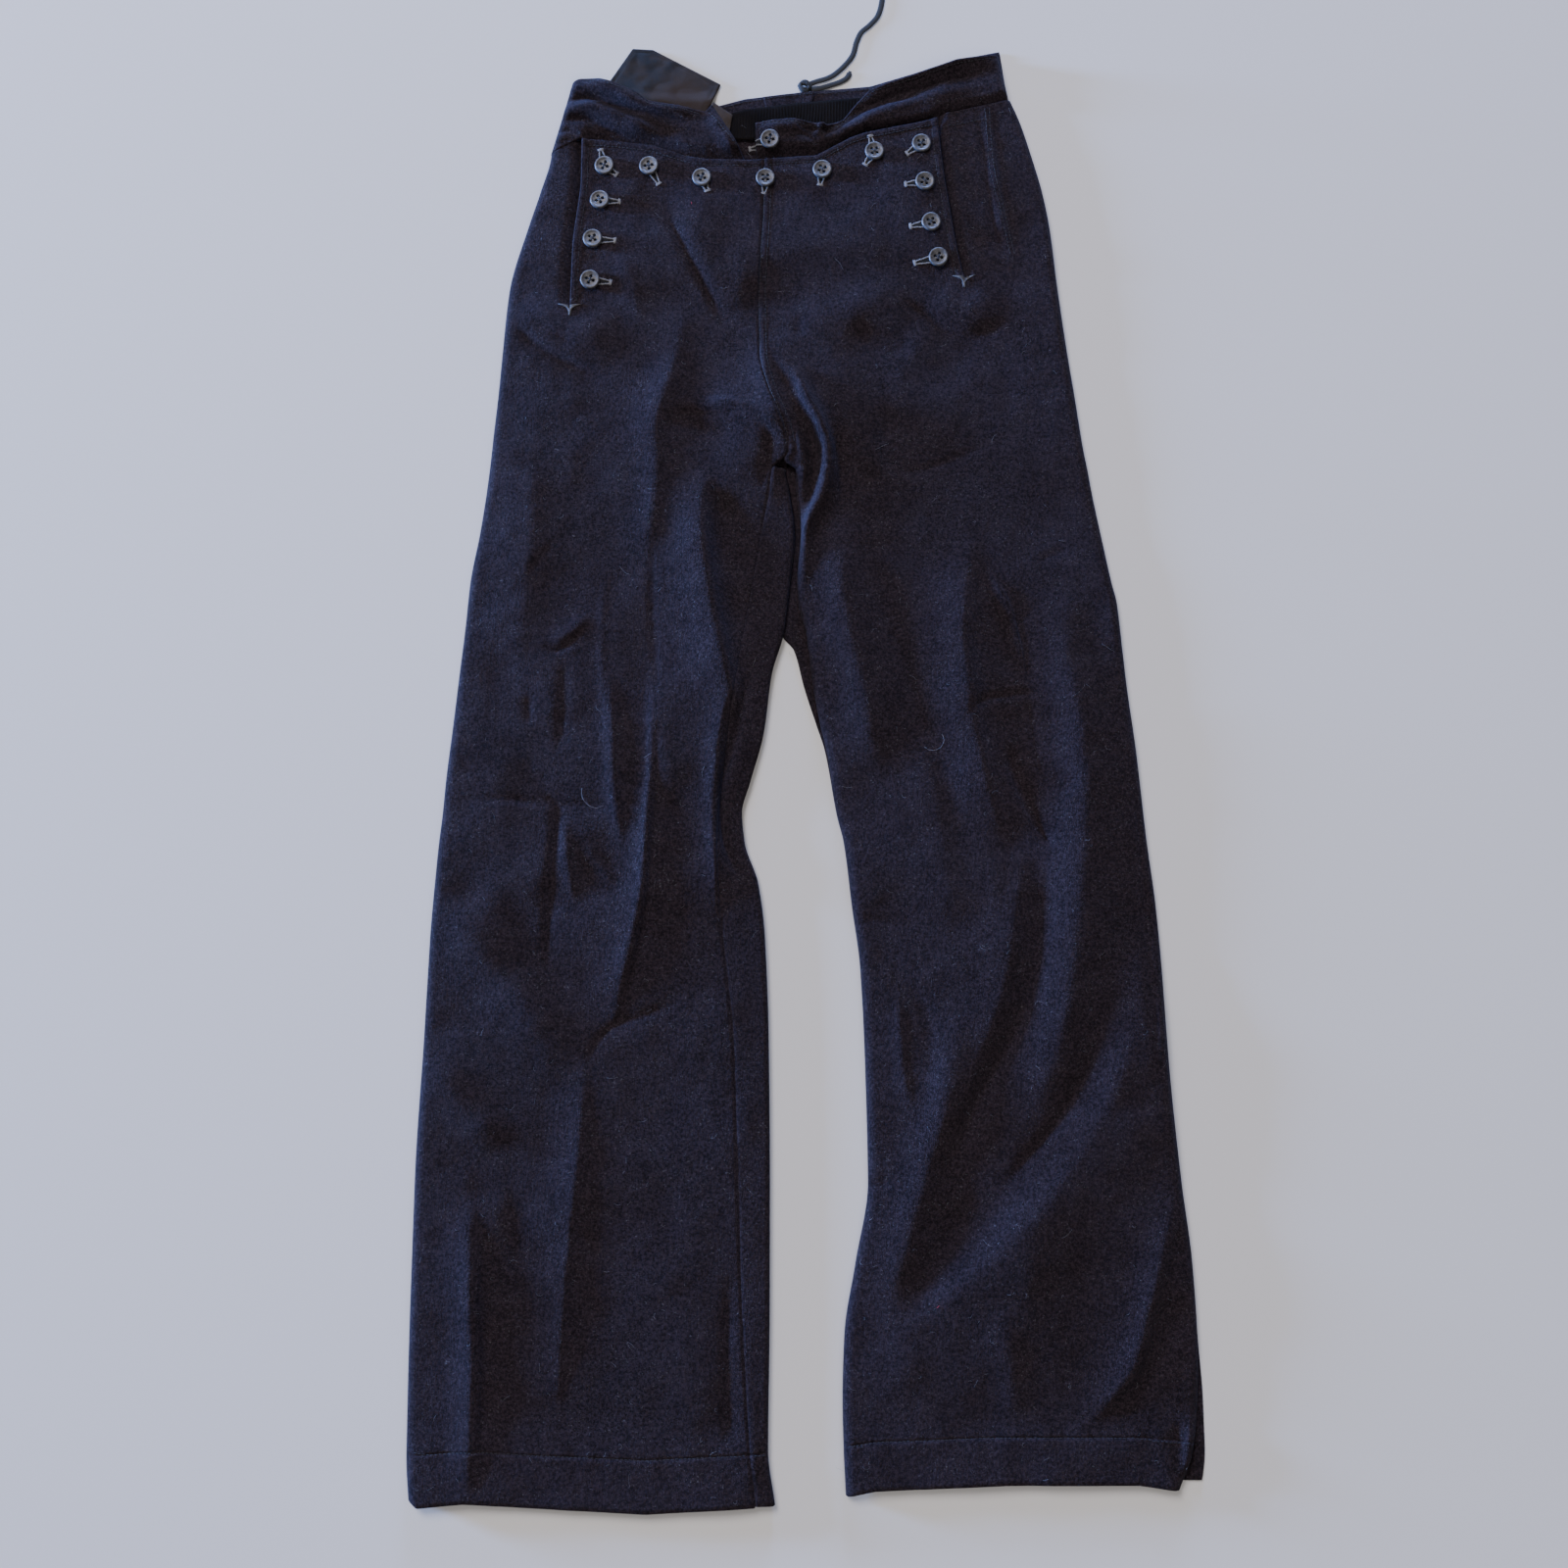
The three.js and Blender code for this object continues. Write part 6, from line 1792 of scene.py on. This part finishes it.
class TROUSERS_OT_lace(bpy.types.Operator):
    """Make the lace at the centre back: two loose ends, their knot and the rounds in the notch"""
    bl_idname = "trousers.lace"
    bl_label = "Lace"

    def execute(self, context):
        settings_of(context)
        half = LACE_WIDTH / 2
        flat = LACE_THICK / LACE_WIDTH
        knot_parts = [knot_loop(*loop, phase) for phase, loop in enumerate(KNOT_LOOPS)]
        knot = new_object("lace_knot_piece", *joined(knot_parts), MATERIALS["braid"])
        placed(knot, "lace_knot")
        for name, path, node_name in (("lace_long_end", LACE_PATH, "lace_long"),
                                      ("lace_short_end", LACE_END_PATH, "lace_short")):
            length = path_length(path)
            line = curve_points(path, int(length / LACE_STEP))
            z = LACE_Z + 0.06 * np.sin(np.arange(len(line)) / 19)
            points = to_frame(np.column_stack([line, z]))
            end = np.clip((len(line) - 1 - np.arange(len(line))) / 6, 0.55, 1)
            braid = tube(points, half * MM * end, LACE_SIDES, flat, relief=braid_relief)
            piece = new_object(name, *braid, MATERIALS["braid"])
            placed(piece, node_name)
        for node_name in ("lacing_1", "lacing_2", "lacing_3"):
            low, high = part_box(node_name)
            middle = (low + high) / 2
            x = np.linspace(low.x, high.x, ROUND_STEPS)
            points = np.column_stack([x, np.full(ROUND_STEPS, middle.y), np.full(ROUND_STEPS, middle.z)])
            braid = tube(points, half * MM, LACE_SIDES, flat, relief=braid_relief)
            piece = new_object(node_name + "_round", *braid, MATERIALS["braid"])
            placed(piece, node_name)
        return {"FINISHED"}


class TROUSERS_OT_backs(bpy.types.Operator):
    """Make the two backs, which lie flat on the surface, the right one turned over at its inseam"""
    bl_idname = "trousers.backs"
    bl_label = "Backs"

    def execute(self, context):
        settings_of(context)
        grid, kept = back_right_grid()
        cloth("back_right", "wool", grid, kept)
        cloth("back_left", "wool", back_left_grid())
        return {"FINISHED"}


class TROUSERS_OT_fronts(bpy.types.Operator):
    """Make the two fronts with their folds, the fall's openings, hem and seams"""
    bl_idname = "trousers.fronts"
    bl_label = "Fronts"

    def execute(self, context):
        settings_of(context)
        grid, kept = front_right_grid()
        cloth("front_right", "wool", grid, kept)
        grid, kept = front_left_grid()
        cloth("front_left", "wool", grid, kept)
        return {"FINISHED"}


class TROUSERS_OT_waistband(bpy.types.Operator):
    """Make the waistband, two fronts over two backs"""
    bl_idname = "trousers.waistband"
    bl_label = "Waistband"

    def execute(self, context):
        settings_of(context)
        b = BACK_BAND
        right = back_band_grid(lambda t: mix(b["right_low"], CENTRE_BACK - NOTCH_LOW, t),
                               lambda t: mix(b["right_top"], CENTRE_BACK - NOTCH_TOP, t))
        left = back_band_grid(lambda t: mix(CENTRE_BACK + NOTCH_LOW, b["left_low"], t),
                              lambda t: mix(CENTRE_BACK + NOTCH_TOP, b["left_top"], t))
        cloth("waistband_back_right", "wool", right)
        cloth("waistband_back_left", "wool", left)
        cloth("waistband_front_right", "wool", waistband_right_grid())
        cloth("waistband_front_left", "wool", waistband_left_grid())
        return {"FINISHED"}


BAG_CLEARANCE = 0.05


class TROUSERS_OT_linings(bpy.types.Operator):
    """Make the band's facing and lining, the pocket bag and the gusset, and give the bearers a darker copy of
    the wool as painted shade under the fall
    """
    bl_idname = "trousers.linings"
    bl_label = "Linings"

    def execute(self, context):
        settings_of(context)
        cloth("band_facing_back", "facing", facing_grid(),
              half=THIN / 2)
        cloth("band_lining_right", "lining", lining_grid(),
              half=THIN / 2)
        cloth("pocket_bag", "bag", pocket_bag_grid(),
              half=BAG_CLOTH / 2 - BAG_CLEARANCE)
        cloth("gusset", "wool", gusset_grid(), half=THIN / 2)
        # The bearers take the darkened wool, painted shade under the fall
        for name in ("bearer_right", "bearer_left"):
            kept_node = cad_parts[name]
            kept_node.data.materials.clear()
            kept_node.data.materials.append(MATERIALS["inside wool"])
        return {"FINISHED"}


class TROUSERS_OT_stitches(bpy.types.Operator):
    """Sew the visible lines of machine stitches onto the cloth"""
    bl_idname = "trousers.stitches"
    bl_label = "Stitches"

    def execute(self, context):
        settings = settings_of(context)
        jitter = np.random.default_rng(settings.seed)
        places = []
        for path in sewing_lines():
            places += seam_places(path, settings, jitter)
        grains("machine_stitches", places, "sewing")
        return {"FINISHED"}


# How a button lies: the share of its size that rests, how far it is drawn upright, its tilt and gap
SEAT_SHARE = 0.42
UPRIGHT = 1.6
BUTTON_TILT = 0.05
LEAST_SEAT = 0.2
SEAT_GAP = 0.15
CROSSINGS = [((1, 1), (-1, -1)), ((-1, 1), (1, -1))]
THREAD_BESIDE = 0.154
THREAD_STEPS = 13
THREAD_RADIUS = 0.2


class TROUSERS_OT_buttons(bpy.types.Operator):
    """Turn the fourteen buttons, set them on the cloth and sew them on"""
    bl_idname = "trousers.buttons"
    bl_label = "Buttons"

    def execute(self, context):
        settings = settings_of(context)
        jitter = np.random.default_rng(settings.seed + 1)
        pattern = button_mesh()
        threads = []
        for node_name, (x, y) in button_nodes():
            middle, normal, above = on_cloth_wide(x, y, SEAT_SHARE * BUTTON_SIZE)
            tilt = Vector(jitter.normal(0, BUTTON_TILT, 3))
            normal = (normal + Vector((0, 0, UPRIGHT)) + tilt).normalized()
            lift = max(above, LEAST_SEAT * MM) + SEAT_GAP * MM
            spin = jitter.uniform(0, math.pi / 2)
            mesh = pattern.copy()
            piece = bpy.data.objects.new("turned_" + node_name, mesh)
            context.scene.collection.objects.link(piece)
            matrix = normal.to_track_quat("Z", "Y").to_matrix().to_4x4()
            matrix.translation = middle + normal * lift
            direction = Vector((math.cos(spin), math.sin(spin), 0))
            matrix = matrix @ direction.to_track_quat("X", "Z").to_matrix().to_4x4()
            mesh.transform(matrix)
            placed(piece, node_name)
            for (ax, ay), (bx, by) in CROSSINGS:
                for beside in (-THREAD_BESIDE, THREAD_BESIDE):
                    line = []
                    for t in np.linspace(0, 1, THREAD_STEPS):
                        height = 2.35 + 0.35 * math.sin(math.pi * t) - 2.0 * (abs(2 * t - 1) ** 10)
                        px = mix(ax, bx, t) * HOLE_OFFSET + beside
                        py = mix(ay, by, t) * HOLE_OFFSET - beside
                        line.append(matrix @ Vector((px * MM, py * MM, height * MM)))
                    threads.append(tube(np.array(line), THREAD_RADIUS * MM, 6, up=tuple(normal)))
        placed(new_object("button_threads", *joined(threads), MATERIALS["sewing"]))
        bpy.data.meshes.remove(pattern)
        return {"FINISHED"}


class TROUSERS_OT_buttonholes(bpy.types.Operator):
    """Work the buttonholes: two rails of purl stitches, a near-black tube painted as the shadow in the open
    slot, and a bar at the seen end
    """
    bl_idname = "trousers.buttonholes"
    bl_label = "Buttonholes"

    def execute(self, context):
        settings = settings_of(context)
        jitter = np.random.default_rng(settings.seed + 2)
        where = dict(button_nodes())
        purls, slot_shadows = [], []
        for hole in HOLES:
            for end in (hole.bar, hole.other):
                if end is not None:
                    self.work(where[hole.button], end, purls, slot_shadows, jitter)
        grains("buttonhole_stitches", purls, "buttonhole")
        # The tubes in the slots are painted shadow
        placed(new_object("buttonhole_painted_shadows", *joined(slot_shadows), MATERIALS["hollow"]))
        return {"FINISHED"}

    def work(self, button, end, purls, slot_shadows, jitter):
        start = np.array(button, float)
        end = np.array(end, float)
        direction = (end - start) / np.linalg.norm(end - start)
        across = np.array([-direction[1], direction[0]])
        length = np.linalg.norm(end - start)
        near = BUTTON_OVER * BUTTON_SIZE / 2
        line = []
        widths = []
        for along in np.arange(near, length - 0.4, PURL_PITCH):
            open_by = mix(*OPEN_WIDTHS, (along - near) / (length - near))
            for side in (-1, 1):
                x, y = start + direction * along + across * side * (open_by + jitter.normal(0, 0.08))
                point, normal = on_cloth(x, y)
                out = Vector((across[0] * side, across[1] * side, 0)) + Vector(jitter.normal(0, 0.12, 3))
                purls.append((point + normal * PURL_LIFT * MM, out - normal * out.dot(normal), normal,
                              jitter.uniform(*PURL_LENGTHS) * MM, PURL_RADIUS * MM))
            x, y = start + direction * along
            line.append(on_cloth(x, y)[0] + Vector((0, 0, SLOT_SHADOW_LIFT * MM)))
            widths.append(open_by * SLOT_SHADOW_SHARE * MM)
        for row in BAR_ROWS:
            x, y = end + direction * row
            point, normal = on_cloth(x, y)
            out = Vector((across[0], across[1], 0)) + Vector(jitter.normal(0, 0.06, 3))
            purls.append((point + normal * BAR_LIFT * MM, out, normal,
                          jitter.uniform(*BAR_LENGTHS) * MM, BAR_RADIUS * MM))
        # The near-black tube along the opening paints its shadow
        if len(line) > 2:
            slot_shadows.append(tube(np.array(line), np.array(widths), 8, SLOT_SHADOW_FLAT))


class TROUSERS_OT_tacks(bpy.types.Operator):
    """Work the two triangular tacks at the feet of the fall's openings"""
    bl_idname = "trousers.tacks"
    bl_label = "Tacks"

    def execute(self, context):
        settings = settings_of(context)
        jitter = np.random.default_rng(settings.seed + 3)
        threads = []
        for cx, cy in TACKS:
            for k in range(TACK_THREADS):
                t = k / (TACK_THREADS - 1)
                for side in (-1, 1):
                    ax, ay = side * mix(9, 0.6, t), 4.5 - 0.2 * k
                    bx, by = -side * mix(0.6, 2.2, 1 - t), mix(3.2, -5.5, t)
                    line = []
                    for s in np.linspace(0, 1, TACK_STEPS):
                        x, y = cx + mix(ax, bx, s), cy + mix(ay, by, s)
                        point, _ = on_cloth(x, y)
                        line.append(point + Vector((0, 0, (0.25 + 0.55 * math.sin(math.pi * s)) * MM)))
                    stray = jitter.normal(0, 0.05 * MM, (TACK_STEPS, 3))
                    threads.append(tube(np.array(line) + stray, TACK_RADIUS * MM, 6))
        placed(new_object("tack_threads", *joined(threads), MATERIALS["tack"]))
        return {"FINISHED"}


def fibre(x, y, length, angle, curl, radius, jitter, steps=5):
    """One loose fibre that lies on the cloth."""
    line = []
    heading = angle
    for _ in range(steps):
        point, _ = on_cloth(x, y)
        line.append(point + Vector((0, 0, radius + (0.12 + 0.3 * abs(jitter.normal())) * MM)))
        heading += curl * jitter.uniform(0.4, 1.4)
        x += math.cos(heading) * length / (steps - 1)
        y += math.sin(heading) * length / (steps - 1)
    return tube(np.array(line), radius, 3)


# Lint: where it falls and its lengths. Two long hairs, and two red specks that the photo shows
LINT_X = (-260, 285)
LINT_Y = (0, 1050)
LINT_LENGTH = (1.0, 0.55)
LONGEST_LINT = 14
LINT_RADII = (0.035, 0.06)
LOW_CLOTH = 1.5
HAIRS = [(-149, 498, 26, -1.9, 0.22), (117, 538, 24, -0.9, -0.3)]
HAIR_RADIUS = 0.09
SPECKS = [(106.7, 130, 0.3), (-72.3, 959, 1.2)]
SPECK_LENGTH = 2.2
SPECK_RADIUS = 0.16


class TROUSERS_OT_lint(bpy.types.Operator):
    """Scatter loose pale fibres and specks over the cloth"""
    bl_idname = "trousers.lint"
    bl_label = "Lint"

    def execute(self, context):
        settings = settings_of(context)
        jitter = np.random.default_rng(settings.seed + 4)
        pale = []
        while len(pale) < settings.lint_count:
            y = jitter.uniform(*LINT_Y)
            x = jitter.uniform(*LINT_X)
            point, _ = on_cloth(x, y)
            if point.z < LOW_CLOTH * MM:
                continue
            length = min(LONGEST_LINT, jitter.lognormal(*LINT_LENGTH))
            pale.append(fibre(x, y, length, jitter.uniform(0, 2 * math.pi), jitter.normal(0, 0.55),
                              jitter.uniform(*LINT_RADII) * MM, jitter))
        for x, y, length, angle, curl in HAIRS:
            pale.append(fibre(x, y, length, angle, curl, HAIR_RADIUS * MM, jitter, 12))
        placed(new_object("pale_lint", *joined(pale), MATERIALS["lint"]))
        red = [fibre(x, y, SPECK_LENGTH, angle, 0.2, SPECK_RADIUS * MM, jitter) for x, y, angle in SPECKS]
        placed(new_object("red_lint_specks", *joined(red), MATERIALS["red lint"]))
        return {"FINISHED"}


FLOOR_Z = -0.0003
FLOOR_SIZE = 4.0
FLOOR_COLOUR = (0.62, 0.62, 0.61, 1)
FLOOR_ROUGHNESS = 0.9
WORLD_COLOUR = (0.92, 0.94, 1.0, 1)
WORLD_STRENGTH = 0.14
BEYOND_SHARE = 0.3


class TROUSERS_OT_stage(bpy.types.Operator):
    """Make the pale floor and the soft studio light"""
    bl_idname = "trousers.stage"
    bl_label = "Stage"

    def execute(self, context):
        settings = settings_of(context)
        made, _, shader = new_material("Floor")
        shader.inputs["Base Color"].default_value = FLOOR_COLOUR
        shader.inputs["Roughness"].default_value = FLOOR_ROUGHNESS
        size, z = FLOOR_SIZE, FLOOR_Z
        corners = [(-size, -size, z), (size, -size, z), (size, size, z), (-size, size, z)]
        floor = new_object("floor", corners, [[0, 1, 2, 3]], made, smooth=False)
        lights = [
            ("Window", settings.key_power, (-2.0, 2.7, 3.8), 2.2, (1.0, 0.93, 0.95)),
            ("Low light", settings.low_power, (-4.9, 1.2, 0.42), 0.8, (0.23, 0.41, 1.0)),
            ("Low light beyond", BEYOND_SHARE * settings.low_power, (0.4, 5.6, 0.8), 1.2, (0.3, 0.45, 1.0)),
            ("Fill light", settings.fill_power, (0.7, -2.2, 3.2), 2.6, (1.0, 0.92, 0.88)),
        ]
        for name, power, place, width, colour in lights:
            data = bpy.data.lights.new(name, "AREA")
            data.energy = power
            data.size = width
            data.color = colour
            lamp = bpy.data.objects.new(name, data)
            lamp.location = place
            lamp.rotation_euler = (Vector((0, 0, 0)) - Vector(place)).to_track_quat("-Z", "Y").to_euler()
            context.scene.collection.objects.link(lamp)
        world = bpy.data.worlds.new("Studio")
        world.use_nodes = True
        background = world.node_tree.nodes["Background"]
        background.inputs["Color"].default_value = WORLD_COLOUR
        background.inputs["Strength"].default_value = WORLD_STRENGTH
        context.scene.world = world
        return {"FINISHED"}


OPERATORS = [
    TROUSERS_OT_camera, TROUSERS_OT_lace, TROUSERS_OT_backs, TROUSERS_OT_fronts, TROUSERS_OT_waistband,
    TROUSERS_OT_linings, TROUSERS_OT_stitches, TROUSERS_OT_buttons, TROUSERS_OT_buttonholes,
    TROUSERS_OT_tacks, TROUSERS_OT_lint, TROUSERS_OT_stage,
]


class TROUSERS_PT_panel(bpy.types.Panel):
    """Settings and steps of the trousers"""
    bl_label = "Trousers"
    bl_idname = "TROUSERS_PT_panel"
    bl_space_type = "VIEW_3D"
    bl_region_type = "UI"
    bl_category = "Trousers"

    def draw(self, context):
        for name in TrousersSettings.__annotations__:
            self.layout.prop(context.scene.trousers, name)
        for operator in OPERATORS:
            self.layout.operator(operator.bl_idname)


CLASSES = [TrousersSettings] + OPERATORS + [TROUSERS_PT_panel]


def register():
    for each in CLASSES:
        bpy.utils.register_class(each)
    bpy.types.Scene.trousers = PointerProperty(type=TrousersSettings)


def unregister():
    del bpy.types.Scene.trousers
    for each in reversed(CLASSES):
        bpy.utils.unregister_class(each)


def main():
    register()
    bpy.ops.trousers.camera()
    bpy.ops.trousers.lace()
    bpy.ops.trousers.backs()
    bpy.ops.trousers.fronts()
    bpy.ops.trousers.waistband()
    bpy.ops.trousers.linings()
    bpy.ops.trousers.stitches()
    bpy.ops.trousers.buttons()
    bpy.ops.trousers.buttonholes()
    bpy.ops.trousers.tacks()
    bpy.ops.trousers.lint()
    bpy.ops.trousers.stage()


if __name__ == "__main__":
    main()
